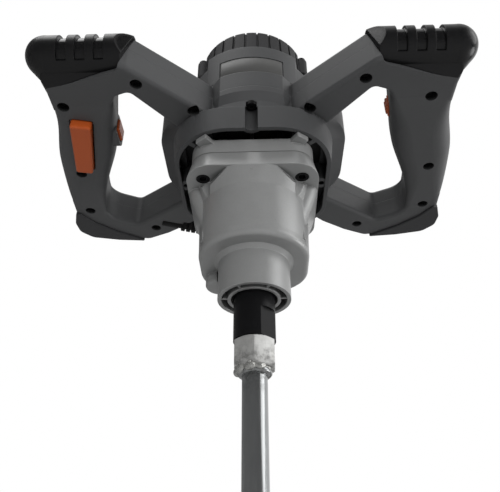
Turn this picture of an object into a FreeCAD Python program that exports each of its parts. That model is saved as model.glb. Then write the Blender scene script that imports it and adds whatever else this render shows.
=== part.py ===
# A two-handled mixing drill as separate named pieces: millimetres, +Z up along the spindle,
# origin at the centre of the gear housing's clamping nose, -Y towards the side the trigger hand leads.
import math
import os

import FreeCAD
import Part

V = FreeCAD.Vector

# General working values
overrun = 1.0            # how far a cutting body runs past what it cuts
far_reach = 400.0        # past the end of everything, for half-space cuts
near = 0.01              # two heights closer than this count as the same
body_gap = 0.3           # air between pieces that move against each other
run_gap = 0.05           # radial air of a shaft in its bearing or bush
seat_gap = 0.1           # radial air of a screw or pin in its hole

# Heights of the body, measured from the end face of the nose
nose_end_z = 0.0
block_low_z = 25.0       # underside of the round gear block
flange_low_z = 69.0      # underside of the gear housing's flange, seat of its screws
casting_top_z = 81.0     # joint between gear housing and gear plate
plate_top_z = 91.0
skirt_low_z = 91.2       # rim of the handle frame round the gear housing
band_top_z = 108.6       # top of the upright band above that rim
arm_low_z = 110.0        # underside of arms and grips
seam_z = 126.0           # joint of the two handle shells
arm_high_z = 138.8
tower_top_z = 167.0
cap_top_z = 195.6

# Handle frame
wall = 2.8
rib_wall = 2.0
arm_soft_r = 3.0         # rounding along the arms
grip_low_z = 108.6
grip_high_z = 140.5
# corner radius of each grip section as a share of its width
grip_corner_shares = [0.14, 0.16, 0.28, 0.40, 0.42, 0.40, 0.28, 0.16, 0.14]
# grip sections: distance along the tool, inner edge, outer edge, drawn in above and below
grip_rows = [(-60.0, 84.0, 122.6, 2.0), (-48.0, 85.2, 123.4, 1.2), (-36.0, 87.4, 125.4, 0.5),
             (-20.0, 90.4, 129.6, 0.0), (0.0, 95.2, 135.0, 0.0), (20.0, 103.2, 137.6, 0.0),
             (38.0, 110.2, 138.0, 0.5), (52.0, 113.4, 137.6, 1.2), (66.0, 114.0, 138.4, 2.0)]
# plan corners: x, y, corner radius
front_arm_plan = [(22.0, -36.0, 0.0), (35.5, -48.5, 0.0), (71.5, -79.2, 4.0), (76.0, -81.6, 5.0),
                  (114.0, -81.6, 12.0), (124.8, -73.0, 9.4), (123.4, -60.0, 12.0), (123.4, -46.0, 0.0),
                  (88.0, -46.0, 3.0), (82.6, -56.2, 4.5), (73.6, -59.4, 4.0), (53.0, -35.0, 0.0),
                  (44.0, -24.0, 0.0)]
rear_arm_plan = [(34.0, 33.0, 0.0), (54.0, 48.0, 0.0), (93.6, 76.6, 5.0), (115.6, 66.0, 15.0),
                 (113.0, 46.0, 0.0), (137.4, 46.0, 0.0), (138.2, 61.0, 12.0), (141.4, 71.0, 6.0),
                 (140.6, 82.0, 6.0), (132.4, 90.6, 10.0), (112.0, 95.0, 14.0), (87.0, 97.6, 8.0),
                 (70.0, 89.6, 8.0), (52.0, 77.6, 8.0), (40.0, 66.0, 8.0), (34.0, 48.0, 0.0)]
rear_pad_plan = [(138.2, 60.0, 1.0), (141.4, 71.0, 8.0), (140.6, 82.0, 8.0), (132.4, 90.6, 10.0),
                 (112.0, 95.0, 14.0), (90.0, 97.0, 0.6), (98.0, 91.4, 3.0), (112.0, 82.6, 12.0),
                 (126.0, 70.6, 12.0), (134.6, 58.4, 1.0)]
pad_thick = 3.4
pad_proud = 1.6

# Body of the frame: half width, front, rear, front and rear corner radius at three heights
rim_row = (50.4, -47.8, 52.0, 36.0, 22.0)
band_row = (52.6, -48.2, 53.0, 37.0, 24.0)
flare_row = (62.6, -34.0, 56.0, 30.0, 30.0)
flare_z = 119.0
motor_rib_count = 8
# cross walls in the arms: x, y, turn in degrees
cross_wall_spots = [(58.0, -54.0), (104.0, -64.0), (124.0, 40.0), (72.0, 72.0), (112.0, 84.0)]
cross_wall_degs = [-48.0, 0.0, 0.0, 36.0, 80.0]
cross_wall_reach = 21.0  # half length of a cross wall
wire_gap_r = 4.0         # gap for the wires in a cross wall
tower_low_r = 46.6
tower_mid_r = 46.0
tower_mid_z = 157.0      # start of the shoulder
tower_high_r = 41.0
panel_half_x = 16.6      # raised tongue on the front of the tower
panel_root_x = 27.5      # half width where its flanks run into the tower
panel_root_y = -36.0
panel_foot_x = 14.6      # half width at its foot
panel_r = 49.4
panel_high_z = 139.0
panel_edge_z = 121.5     # where its front turns back
panel_ledge_z = 114.5
panel_ledge_r = 47.6
label_r = 46.4           # round pad above the tongue
label_pad_x = 27.6
label_root_x = 31.0
label_root_y = -28.0
label_half_x = 21.0      # shallow place in the pad, left bare
label_z = (141.0, 156.6)
label_recess = 0.5
motor_low_r = 38.6       # clear radius under the field core
ear_x = 35.6             # ears for the end cap's screws
ear_y = 14.5
ear_r = 4.0
ear_top_z = 187.0
cap_post_r = 5.6         # posts in the tower that take the end cap's screws
cap_post_low_z = 161.8
side_boss_x = 45.4       # half-round bosses inside the skirt
side_boss_y = 7.0
side_boss_r = 4.8
side_boss_top_z = 116.0
channel_y = -45.4        # screw channel, open to the front, in the band
channel_r = 3.9
channel_boss_r = 6.5
channel_low_z = 95.0
channel_floor_z = 113.6  # seat of the screw in the channel

# Screws of the handle shells
screw_shank_r = 1.9
screw_head_r = 3.4
screw_head_h = 2.6
screw_well_r = 3.7
screw_well_floor_z = 117.0
screw_boss_r = 5.6
screw_length = 16.0
screw_recess_r = 1.3     # cross recess, drawn as a round socket
screw_recess_d = 1.5
shared_screws = [(36.2, -43.8), (67.8, -66.6), (120.8, 11.6), (126.2, 56.4), (79.6, 80.8)]
right_screw = (109.2, -51.6)
left_screw = (-116.0, -50.0)
front_screw = (0.0, channel_y)

# Rubber bumpers on the front corners
bar_y = -75.0            # round bar along the bumper's front
bar_z = 126.0
bar_r = 12.4
bar_start_x = 60.0
bar_end_x = 121.0
# plan of what is taken off the bar's inner end, flush with the arm's front wall
bar_cut_plan = [(-6.0, -15.6, 0.0), (-100.0, -100.0, 0.0), (0.0, -200.0, 0.0), (100.4, -106.3, 0.0)]
# underside of the rubber behind the bar: y and height
heel_points = [(-67.0, 110.0), (-73.0, 113.6), (-75.0, 116.0)]
bumper_zone_low = [(79.0, -95.0, 0.0), (78.4, -79.2, 6.0), (108.0, -69.6, 0.0), (122.0, -66.0, 0.0),
                   (145.0, -63.0, 0.0), (145.0, -95.0, 0.0)]
bumper_zone_high = [(67.0, -95.0, 0.0), (66.4, -70.0, 6.0), (100.0, -64.0, 0.0), (122.0, -61.6, 0.0),
                    (145.0, -60.0, 0.0), (145.0, -95.0, 0.0)]
zone_low_z = 100.0
zone_high_z = 148.0
core_inset = 6.0         # rubber thickness over the shell's hidden stub
core_wall = 2.4
groove_x = [87.4, 98.4, 109.2]
groove_width = 5.8
groove_depth = 2.0
groove_foot_z = 115.4
groove_back_y = -69.0

# Trigger, lock button and speed dial
trigger_front = (-107.8, -38.6)
trigger_rear = (-116.3, 5.6)
trigger_front_w = 13.4
trigger_rear_w = 11.4
trigger_low_z = 103.6
trigger_body_z = 112.6
trigger_soft_r = 1.6
trigger_gap = 0.9
trigger_bevel = 1.8
trigger_pin_r = 1.5
trigger_pin_z = 113.6
trigger_pin_back = 4.0   # pin position behind the trigger's front edge
trigger_tail = 6.0       # hidden heel that reaches up to the switch
trigger_tail_z = 116.8
trigger_room_z = 119.0   # free height above the pressed trigger
switch_half_w = 8.0
switch_low_z = 120.4
switch_high_z = 136.6
switch_front_share = 0.18
switch_rear_share = 0.92
button_y = -16.2
button_z = 122.6
button_half_y = 6.2
button_half_z = 4.6
button_face_x = -88.2
button_depth = 8.0
button_soft_r = 1.5
button_boss_grow = 3.4
button_boss_x = -89.6
dial_x = 96.0
dial_y = -32.0
dial_z = 124.4
dial_r = 10.2
dial_half_h = 3.4
dial_notch_r = 0.9
dial_notches = 20
dial_axle_r = 1.6
dial_axle_l = 1.8
module_x = (104.0, 121.0)
module_y = (-20.0, 3.0)
module_z = (115.0, 132.0)
module_axle_gap = 0.1
module_ledge_x = (93.6, 112.0)   # shelf that carries the dial's axle
module_ledge_y = (-36.0, -28.0)
module_neck_x = 99.0
module_ledge_z = 118.4

# Cord inlet at the rear left
gland_base = (-66.0, 77.0, 115.0)
gland_turn_deg = 20.0    # from +X towards the rear
gland_r = 7.6
gland_neck_r = 5.8
gland_bore_r = 4.0
gland_length = 21.0
gland_collar = 8.0
gland_rings = 5
gland_ring_share = 0.55

# Motor end cap
cap_low_z = 168.6
cap_low_r = 37.6
cap_high_r = 36.0
cap_wall = 2.6
cap_dome = 3.0
cap_soft_r = 3.0
cap_ribs = 28
cap_rib_w = 6.8
cap_rib_h = 1.1
cap_slots = 20           # air slots in the cap's top
cap_slot_w = 3.0
cap_slot_in_r = 17.0
cap_slot_out_r = 30.0
cap_hub_r = 13.4
cap_screw_r = 1.9
cap_screw_head_r = 3.2
cap_screw_head_h = 2.4
cap_screw_low_z = 162.8
cap_well_wall = 1.8

# Gear housing
nose_r = 21.5
nose_wall = 2.3
nose_recess_z = 12.0
nose_ring_out_r = 15.6
nose_ring_in_r = 13.6
nose_rib_w = 1.2
nose_rib_count = 6
nose_soft_r = 2.4
block_r = 33.4
block_soft_r = 3.0
block_rear = 37.6        # the block reaches back round the layshaft
block_front_soft_r = 32.0
block_rear_soft_r = 23.6
block_foot_z = 31.0
barrel_half_x = 34.6     # the block's section under the flange
barrel_soft_r = 30.0
barrel_middle = (33.8, -37.4, 39.0, 33.2, 27.0)
barrel_middle_z = 58.0
cheek_half_y = 19.0      # side cheeks between the screw pockets
cheek_soft_r = 7.0
cheek_rows = [(42.0, 31.6), (52.0, 34.6), (59.0, 37.2), (65.0, 39.2), (70.0, 40.4)]
flange_half = 40.4       # at the flange's underside
flange_corner_r = 15.5
top_half = 37.8          # at the joint and the gear plate
top_corner_r = 14.0
casting_wall = 4.0
casting_floor = 2.0      # rise of the gear room's floor above the spindle's low bearing
lay_post_air = 5.6       # air between the spindle and the post of the layshaft's bush
gear_screw_x = 30.0
gear_screw_rows = (-27.4, 31.0)
gear_screw_r = 2.45
gear_screw_head_r = 4.2
gear_screw_head_h = 2.6  # sunk in the flange
gear_screw_tip_z = 102.0
gear_screw_socket_r = 2.2
gear_screw_socket_d = 2.4
# plan of a screw pocket: inner front corner, deepest corner, corner at the cheek
pocket_plan = [(12.0, -42.0), (25.4, -24.6), (36.0, -18.8)]
pocket_low_z = 57.0      # where the pocket runs out of the block
pocket_lean = 4.0        # how far its walls lean outwards down to there
rib_azimuths_deg = (-62.0, 62.0, 118.0, 242.0)
rib_w = 2.4
rib_proud = 1.2
rib_top_z = 64.0
lug_spot = (-21.6, 17.0)
lug_r = 9.0
lug_low_z = 17.6
lug_soft_r = 2.4
lug_air = 2.9            # room for a clamp between the lug and the nose
tab_width = 8.0          # centring tabs on the gear plate's front corners
tab_reach = 51.6
tab_root = 44.0
tab_thick = 3.2
tab_azimuths_deg = (-53.0, -127.0)
gear_post_r = 4.6        # posts in the skirt that the gear housing is screwed to
gear_post_rib_w = 3.0
gear_post_top_z = 105.0
shaft_gap = 0.8          # air round a turning shaft where it passes a wall

# Gear train: a layshaft behind the spindle axis
shaft_distance = 20.0
module_one = 0.8
module_two = 1.0
teeth_one = 9
teeth_two = 41
teeth_three = 9
teeth_four = 31
shift_share = 0.5
pressure_deg = 20.0
tooth_backlash = 0.25
tip_relief = 0.22
root_share = 1.28
flank_steps = 5
stage_one_z = (72.0, 79.0)
stage_two_z = (50.0, 60.0)
lay_r = 4.0
lay_low_z = 40.4
lay_high_z = 87.8
lay_bush_r = 7.0
lay_bush_low_z = (40.0, 48.0)
lay_bush_high_z = (82.4, 88.4)
lay_shoulder_r = 5.2
lay_cavity_r = 17.6
out_cavity_r = 18.4
out_hub_r = 14.2

# Spindle and its bearings
spindle_r = 12.0
spindle_low_z = -26.2
spindle_top_z = 68.0
spindle_seat_r = 10.0
spindle_top_r = 6.0
thread_bore_r = 7.05
thread_bore_z = 2.0
flat_half = 10.5
flat_top_z = -9.0
flat_turn_deg = 48.0
seal_z = (14.4, 19.6)
seal_out_r = 16.0
seal_bore_z = 14.0
bearing_low_z = (20.0, 32.0)
bearing_low_out_r = 18.0
bearing_high_z = (61.6, 67.6)
bearing_high_out_r = 9.5
web_z = (60.8, 68.6)     # wall inside the casting that carries the upper spindle bearing
ring_z = (32.2, 33.6)
ring_out_r = 12.2
bearing_race_share = 0.36

# Motor
armature_r = 5.0
armature_low_z = 71.6
armature_high_z = 190.6
armature_pinion_top_z = 80.4
armature_neck_r = 3.4
lower_bearing_z = (83.2, 90.2)
lower_bearing_r = 11.0
upper_bearing_z = (183.0, 190.0)
upper_bearing_r = 11.0
fan_z = (95.4, 106.0)
fan_r = 34.0
fan_hub_r = 9.0
fan_disc = 2.0
fan_blades = 12
fan_blade_w = 1.8
fan_blade_in_r = 17.0
core_z = (116.0, 156.0)
core_r = 22.4
core_slots = 12
core_slot_w = 5.2
core_slot_in_r = 11.0
core_lip = 2.2
core_mouth_w = 1.8
winding_low_z = 110.0
winding_high_z = 162.0
winding_r = 19.4
winding_soft_r = 4.0
slot_fill_gap = 0.35
commutator_z = (164.0, 180.0)
commutator_r = 13.6
commutator_bars = 24
commutator_slit_w = 0.7
commutator_slit_d = 1.2
field_r = 40.6
field_yoke_r = 34.6
pole_r = 23.0
pole_shoe_r = 27.0
pole_half_deg = 58.0
pole_neck_w = 26.0
coil_wall = 6.4
coil_gap = 0.4
coil_low_z = 110.6
coil_high_z = 161.4
coil_in_r = 27.6
coil_out_r = 34.2
brush_z = 172.0
brush_w = 7.0
brush_h = 10.0
brush_in_r = 13.7
brush_out_r = 27.0
holder_wall = 1.6
holder_in_r = 16.0
holder_out_r = 33.6
baffle_z = (106.8, 108.8)
baffle_in_r = 30.0
baffle_edge = 1.0        # air between the baffle and the skirt
ledge_width = 3.0        # rim in the skirt that carries the baffle
ledge_h = 1.6

# Stirrer
hex_across = 22.0
hex_low_z = -42.6
stud_r = 6.95
stud_top_z = -2.0
rod_r = 7.0
rod_low_z = -588.0
weld_r = 2.0
weld_out_r = 7.6
blade_high_z = -470.0
blade_low_z = -584.0
blade_in_r = 5.0
blade_top_r = 26.0
blade_thick = 3.0
blade_turn_deg = 105.0
blade_steps = 7
blade_count = 3
hoop_r = 60.0
hoop_wall = 4.0
hoop_z = (-588.0, -570.0)
spoke_w = 12.0
spoke_h = 4.0


# Basic bodies
def drum(radius, low, high, x=0, y=0):
    return Part.makeCylinder(radius, high - low, V(x, y, low))


def taper(low_r, high_r, low, high, x=0, y=0):
    return Part.makeCone(low_r, high_r, high - low, V(x, y, low))


def tube(out_r, in_r, low, high, x=0, y=0):
    return drum(out_r, low, high, x, y).cut(drum(in_r, low - overrun, high + overrun, x, y))


def box(x, y, z):
    return Part.makeBox(x[1] - x[0], y[1] - y[0], z[1] - z[0], V(x[0], y[0], z[0]))


def mirrored(shape):
    return shape.mirror(V(0, 0, 0), V(1, 0, 0))


def both_sides(shape):
    return shape.fuse(mirrored(shape))


def turned(shape, degrees, x=0, y=0):
    copy = shape.copy()
    copy.rotate(V(x, y, 0), V(0, 0, 1), degrees)
    return copy


def joined(shapes):
    return shapes[0].multiFuse(shapes[1:]).removeSplitter() if len(shapes) > 1 else shapes[0]


def outline(corners, z):
    """Closed wire through corners (x, y, corner radius) at height z."""
    count = len(corners)
    starts, middles, ends = [], [], []
    for i, (x, y, radius) in enumerate(corners):
        here = V(x, y, z)
        before = (V(corners[i - 1][0], corners[i - 1][1], z) - here).normalize()
        after = (V(corners[(i + 1) % count][0], corners[(i + 1) % count][1], z) - here).normalize()
        half = before.getAngle(after) / 2
        reach = radius / math.tan(half)
        inward = (before + after).normalize()
        starts.append(here + before * reach)
        ends.append(here + after * reach)
        middles.append(here + inward * (radius / math.sin(half) - radius))
    edges = []
    for i in range(count):
        if corners[i][2] > 0:
            edges.append(Part.Arc(starts[i], middles[i], ends[i]).toShape())
        following = starts[(i + 1) % count]
        if ends[i].distanceToPoint(following) > near:
            edges.append(Part.makeLine(ends[i], following))
    return Part.Wire(edges)


def plate(corners, low, high, inset=0):
    wire = outline(corners, low)
    if inset:
        wire = wire.makeOffset2D(-inset)
    return Part.Face(wire).extrude(V(0, 0, high - low))


def softened(solid, radius, heights):
    """Round every edge that lies flat at one of the given heights."""
    chosen = []
    for edge in solid.Edges:
        span = edge.BoundBox
        for z in heights:
            if abs(span.ZMin - z) < near and abs(span.ZMax - z) < near:
                chosen.append(edge)
    return solid.makeFillet(radius, chosen)


def bowl_plan(half_x, front, rear, front_r, rear_r, inset=0):
    """Rounded box with its own corner radius in front and at the rear."""
    x, low, high = half_x - inset, front + inset, rear - inset
    f, r = front_r - inset, rear_r - inset
    return [(-x, low, f), (x, low, f), (x, high, r), (-x, high, r)]


def round_box_plan(half_x, front, rear, radius, inset=0):
    x, low, high = half_x - inset, front + inset, rear - inset
    r = radius - inset
    return [(-x, low, r), (x, low, r), (x, high, r), (-x, high, r)]


def ruled(wires):
    return Part.makeLoft(wires, True, True)


# Handle frame
def grip_section(y, x_in, x_out, low, high, share, inset):
    """Rounded cross-section of a grip in the plane at y."""
    x0, x1, z0, z1 = x_in + inset, x_out - inset, low + inset, high - inset
    r = min(x1 - x0, z1 - z0) * share
    lean = r * (1 - math.cos(math.radians(45)))
    edges = [Part.makeLine(V(x0 + r, y, z0), V(x1 - r, y, z0)),
             Part.Arc(V(x1 - r, y, z0), V(x1 - lean, y, z0 + lean), V(x1, y, z0 + r)).toShape(),
             Part.makeLine(V(x1, y, z0 + r), V(x1, y, z1 - r)),
             Part.Arc(V(x1, y, z1 - r), V(x1 - lean, y, z1 - lean), V(x1 - r, y, z1)).toShape(),
             Part.makeLine(V(x1 - r, y, z1), V(x0 + r, y, z1)),
             Part.Arc(V(x0 + r, y, z1), V(x0 + lean, y, z1 - lean), V(x0, y, z1 - r)).toShape(),
             Part.makeLine(V(x0, y, z1 - r), V(x0, y, z0 + r)),
             Part.Arc(V(x0, y, z0 + r), V(x0 + lean, y, z0 + lean), V(x0 + r, y, z0)).toShape()]
    return Part.Wire(edges)


def grip(inset):
    wires = []
    for (y, x_in, x_out, drawn), share in zip(grip_rows, grip_corner_shares):
        wires.append(grip_section(y, x_in, x_out, grip_low_z + drawn, grip_high_z - drawn, share, inset))
    return Part.makeLoft(wires, True, False)


def front_arm(inset):
    solid = plate(front_arm_plan, arm_low_z + inset, arm_high_z - inset, inset)
    return solid if inset else softened(solid, arm_soft_r, [arm_low_z, arm_high_z])


def rear_arm(inset):
    solid = plate(rear_arm_plan, arm_low_z + inset, arm_high_z - inset, inset)
    return solid if inset else softened(solid, arm_soft_r, [arm_low_z, arm_high_z])


def skirt(inset):
    """Bowl of the frame that stands round the gear housing: an upright band that flares into the arms."""
    rows = [(rim_row, skirt_low_z), (band_row, band_top_z), (flare_row, flare_z)]
    wires = [outline(bowl_plan(*row, inset), z) for row, z in rows]
    if inset:
        wires[0].translate(V(0, 0, -overrun))
    bowl = ruled(wires)
    return bowl.fuse(plate(bowl_plan(*flare_row, inset), flare_z, arm_high_z - inset))


def tower(inset):
    """Round motor housing that ends in a sloping shoulder; its inside runs out at the top."""
    body = taper(tower_low_r - inset, tower_mid_r - inset, arm_low_z, tower_mid_z)
    shoulder = taper(tower_mid_r - inset, tower_high_r - inset, tower_mid_z, tower_top_z)
    if inset:
        shoulder = shoulder.fuse(drum(tower_high_r - inset, tower_top_z, tower_top_z + overrun))
    return body.fuse(shoulder)


def panel_plan(half, root):
    return [(-half, -panel_r, 0), (half, -panel_r, 0), (root, panel_root_y, 0), (-root, panel_root_y, 0)]


def panel_turned():
    """Round body of the tongue: upright front, undercut, then a ledge that runs down to the band."""
    ledge = drum(panel_ledge_r, band_top_z, panel_ledge_z)
    undercut = taper(panel_ledge_r, panel_r, panel_ledge_z, panel_edge_z)
    return joined([ledge, undercut, drum(panel_r, panel_edge_z, panel_high_z)])


def front_panel():
    foot = outline(panel_plan(panel_foot_x, panel_foot_x + panel_root_x - panel_half_x), band_top_z)
    middle = outline(panel_plan(panel_half_x, panel_root_x), panel_edge_z)
    spread = ruled([foot, middle])
    spread = spread.fuse(plate(panel_plan(panel_half_x, panel_root_x), panel_edge_z, panel_high_z))
    return spread.common(panel_turned())


def label_pad():
    """Round pad above the tongue, with a shallow bare recess."""
    corners = [(-label_pad_x, -label_r, 0), (label_pad_x, -label_r, 0),
               (label_root_x, label_root_y, 0), (-label_root_x, label_root_y, 0)]
    low = panel_high_z - near
    return plate(corners, low, tower_top_z).common(drum(label_r, low, tower_top_z))


def label_place():
    front = box((-label_half_x, label_half_x), (-far_reach, panel_root_y), label_z)
    return front.cut(drum(label_r - label_recess, arm_low_z, tower_top_z))


def bumper_zone(grow=0):
    zone = ruled([outline(bumper_zone_low, zone_low_z), outline(bumper_zone_high, zone_high_z)])
    return zone.translate(V(-grow, grow, 0))


def stub(inset):
    """Hidden part of the front corner that carries the rubber bumper."""
    return plate(front_arm_plan, arm_low_z + inset, arm_high_z - inset, inset)


def frame_outside():
    zone = bumper_zone()
    side = joined([front_arm(0), grip(0), rear_arm(0)]).cut(zone).fuse(stub(core_inset))
    solid = joined([skirt(0), tower(0), front_panel(), label_pad(), side, mirrored(side)])
    return solid.cut(label_place())


def frame_inside():
    zone = bumper_zone(core_wall)
    side = joined([front_arm(wall), grip(wall), rear_arm(wall)]).cut(zone)
    side = side.fuse(stub(core_inset + core_wall))
    return joined([skirt(wall), tower(wall), side, mirrored(side)])


def screw_places():
    places = []
    for x, y in shared_screws:
        places += [(x, y), (-x, y)]
    return places + [right_screw, left_screw, front_screw]


def seat_z(y):
    """Height of the face that a handle screw's head rests on."""
    return channel_floor_z if y == channel_y else screw_well_floor_z


def rib_walls(inside):
    """Thin cross walls that stiffen the arms, each with a gap for the wires."""
    walls = []
    for (x, y), degrees in zip(cross_wall_spots, cross_wall_degs):
        leaf = box((x - cross_wall_reach, x + cross_wall_reach), (y - rib_wall / 2, y + rib_wall / 2),
                   (arm_low_z, seam_z))
        gap = drum(wire_gap_r, seam_z - wire_gap_r, seam_z + overrun, x, y)
        walls.append(turned(leaf, degrees, x, y).cut(gap))
    return both_sides(joined(walls)).common(inside)


def bosses(low, high, inside):
    posts = [drum(screw_boss_r, low, high, x, y) for x, y in screw_places()[:-1]]
    return joined(posts).common(inside)


def shells():
    outside, inside = frame_outside(), frame_inside()
    hollow = outside.cut(inside)
    return hollow.common(below_seam()), hollow.common(above_seam()), inside


def below_seam():
    return box((-far_reach, far_reach), (-far_reach, far_reach), (nose_end_z, seam_z))


def above_seam():
    return box((-far_reach, far_reach), (-far_reach, far_reach), (seam_z, cap_top_z))


def screw_holes(shell, radius, low, high, well):
    cutters = [drum(radius, low, high, x, y) for x, y in screw_places()]
    if well:
        cutters += [drum(screw_well_r, grip_low_z - overrun, seat_z(y), x, y) for x, y in screw_places()]
    return shell.cut(joined(cutters))


def trigger_plan(grow):
    fx, fy = trigger_front
    rx, ry = trigger_rear
    along = V(rx - fx, ry - fy, 0).normalize()
    across = V(along.y, -along.x, 0)
    a, b = V(fx, fy, 0) - along * grow, V(rx, ry, 0) + along * grow
    f, r = trigger_front_w / 2 + grow, trigger_rear_w / 2 + grow
    corners = [a + across * f, b + across * r, b - across * r, a - across * f]
    return [(c.x, c.y, trigger_bevel) for c in corners]


def button_body(grow, x_low, x_high):
    solid = box((x_low, x_high), (button_y - button_half_y - grow, button_y + button_half_y + grow),
                (button_z - button_half_z - grow, button_z + button_half_z + grow))
    edges = [e for e in solid.Edges if e.BoundBox.XLength > near]
    return solid.makeFillet(button_soft_r + grow, edges)


def dial_slot():
    return drum(dial_r + body_gap, dial_z - dial_half_h - body_gap, dial_z + dial_half_h + body_gap,
                dial_x, dial_y)


def control_openings():
    window = plate(trigger_plan(trigger_gap), trigger_low_z, trigger_room_z)
    button = button_body(trigger_gap, button_boss_x - wall * 4, button_face_x + overrun)
    return joined([window, button, dial_slot()])


def button_boss(inside):
    return button_body(button_boss_grow, button_boss_x - wall * 3, button_boss_x).cut(inside)


def gland_axis():
    turn = math.radians(gland_turn_deg)
    return V(*gland_base), V(math.cos(turn), math.sin(turn), 0)


def gland_hole():
    """Seat of the cord inlet: its neck goes through the wall, its rings start outside."""
    start, way = gland_axis()
    neck = Part.makeCylinder(gland_neck_r + seat_gap, gland_collar * 2, start - way * gland_collar, way)
    rings = Part.makeCylinder(gland_r + body_gap, gland_length * 2, start + way * gland_collar, way)
    return neck.fuse(rings)


def pad_recess(grow):
    return plate(rear_pad_plan, arm_low_z - pad_proud - overrun, arm_low_z + pad_thick - pad_proud, -grow)


def side_boss():
    boss = drum(side_boss_r, skirt_low_z + overrun, side_boss_top_z, side_boss_x, side_boss_y)
    return boss.cut(drum(screw_shank_r, skirt_low_z, side_boss_top_z - rib_wall, side_boss_x, side_boss_y))


def channel_boss():
    """Back of the front screw channel, flush with the band in front of it."""
    boss = drum(channel_boss_r, channel_low_z, seam_z, 0, channel_y)
    return boss.common(skirt(0).fuse(tower(0)))


def channel_slot():
    slot = box((-channel_r, channel_r), (channel_y - far_reach, channel_y),
               (skirt_low_z - overrun, band_top_z))
    return slot.fuse(drum(channel_r, skirt_low_z - overrun, channel_floor_z, 0, channel_y))


def gear_posts():
    """Posts under the baffle that take the gear housing's screws, each tied to the skirt by a rib."""
    low = plate_top_z + body_gap
    posts, pilots = [], []
    for x, y in screw_corners():
        half = gear_post_rib_w / 2
        leaf = box((math.hypot(x, y), far_reach), (-half, half), (low, gear_post_top_z))
        posts += [drum(gear_post_r, low, gear_post_top_z, x, y), turned(leaf, math.degrees(math.atan2(y, x)))]
        pilots.append(drum(gear_screw_r, low - overrun, gear_screw_tip_z, x, y))
    return joined(posts).common(skirt(wall - near)).cut(joined(pilots))


def baffle_ledge():
    top = baffle_z[0] - near
    outer = plate(bowl_plan(*band_row, rib_wall), top - ledge_h, top)
    inner = bowl_plan(*rim_row, wall + ledge_width)
    return outer.cut(plate(inner, top - ledge_h - overrun, top + overrun))


def lower_shell(lower, inside):
    shell = joined([lower, both_sides(side_boss()), channel_boss(), gear_posts(), baffle_ledge()])
    shell = joined([shell, bosses(arm_low_z, seam_z, inside), rib_walls(inside), button_boss(inside)])
    shell = joined([shell, pin_posts()]).common(below_seam())
    shell = screw_holes(shell, screw_shank_r + seat_gap, skirt_low_z - overrun, seam_z + overrun, True)
    cuts = [control_openings(), gland_hole(), both_sides(pad_recess(0)), motor_room(), gear_plate_room(),
            channel_slot()]
    return shell.cut(joined(cuts)).cut(trigger_pin())


def cap_posts():
    posts = [drum(cap_post_r, cap_post_low_z, cap_low_z, x, y) for x, y in ear_places()]
    return joined(posts).common(drum(tower_high_r, cap_post_low_z, cap_low_z))


def upper_shell(upper, inside):
    posts = bosses(seam_z, arm_high_z, inside)
    shell = joined([upper, posts, button_boss(inside)]).common(above_seam())
    pilots = joined([drum(screw_shank_r, seam_z - overrun, seat_z(y) + screw_length + overrun, x, y)
                     for x, y in screw_places()])
    shell = shell.cut(joined([pilots, control_openings(), motor_room()]))
    low = cap_screw_low_z - seat_gap
    taps = [drum(cap_screw_r, low, cap_low_z + overrun, x, y) for x, y in ear_places()]
    return joined([shell, motor_ribs(), cap_posts()]).cut(joined(taps))


def motor_ribs():
    """Upright ribs in the tower that hold the field core."""
    leaf = box((field_r + seat_gap, tower_mid_r - wall + overrun), (-rib_wall / 2, rib_wall / 2),
               (seam_z, core_z[1]))
    step = 360 / motor_rib_count
    return joined([turned(leaf, step * (i + 1 / 2)) for i in range(motor_rib_count)])


def pin_frame():
    """Middle of the trigger's pin, and the ways along and across the trigger."""
    fx, fy = trigger_front
    rx, ry = trigger_rear
    along = V(rx - fx, ry - fy, 0).normalize()
    across = V(along.y, -along.x, 0)
    return V(fx, fy, trigger_pin_z) + along * trigger_pin_back, along, across


def pin_posts():
    middle, along, across = pin_frame()
    posts = []
    for side in (1, -1):
        at = middle + across * (side * (trigger_front_w / 2 + trigger_gap + rib_wall))
        posts.append(drum(rib_wall, grip_low_z + wall / 2, trigger_pin_z + rib_wall, at.x, at.y))
    return joined(posts)


def motor_room():
    """Clear space for the motor inside the frame."""
    low = drum(motor_low_r, baffle_z[0], core_z[0] + near)
    middle = drum(tower_mid_r - wall, core_z[0], core_z[1] + seat_gap)
    return joined([low, middle, drum(tower_high_r - wall, core_z[1], tower_top_z + overrun)])


def gear_plate_room():
    return joined([plate(top_plan(), casting_top_z, plate_top_z + body_gap), gear_tabs()])


def handle_screw(x, y):
    seat = seat_z(y)
    foot = seat - screw_head_h
    head = drum(screw_head_r, foot, seat, x, y)
    shank = drum(screw_shank_r, seat - overrun, seat + screw_length, x, y)
    socket = drum(screw_recess_r, foot - overrun, foot + screw_recess_d, x, y)
    return head.fuse(shank).cut(socket).removeSplitter()


def handle_screws():
    return Part.makeCompound([handle_screw(x, y) for x, y in screw_places()])


# Rubber
def bumper_bar(radius):
    """Round bar along the front that ends in a half ball."""
    start = V(bar_start_x, bar_y, bar_z)
    bar = Part.makeCylinder(radius, bar_end_x - bar_start_x, start, V(1, 0, 0))
    bar = bar.fuse(Part.makeSphere(radius, V(bar_end_x, bar_y, bar_z)))
    return bar.cut(plate(bar_cut_plan, zone_low_z, zone_high_z))


def bumper_heel():
    """Rubber between the bar and the plastic, flush with the arm."""
    back = panel_root_y
    points = [(back, arm_low_z - overrun), (heel_points[0][0], arm_low_z - overrun)] + heel_points
    points += [(heel_points[-1][0], arm_high_z + overrun), (back, arm_high_z + overrun)]
    corners = [V(0, y, z) for y, z in points]
    side_view = Part.Face(Part.makePolygon(corners + corners[:1])).extrude(V(far_reach, 0, 0))
    return front_arm(0).common(side_view)


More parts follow.
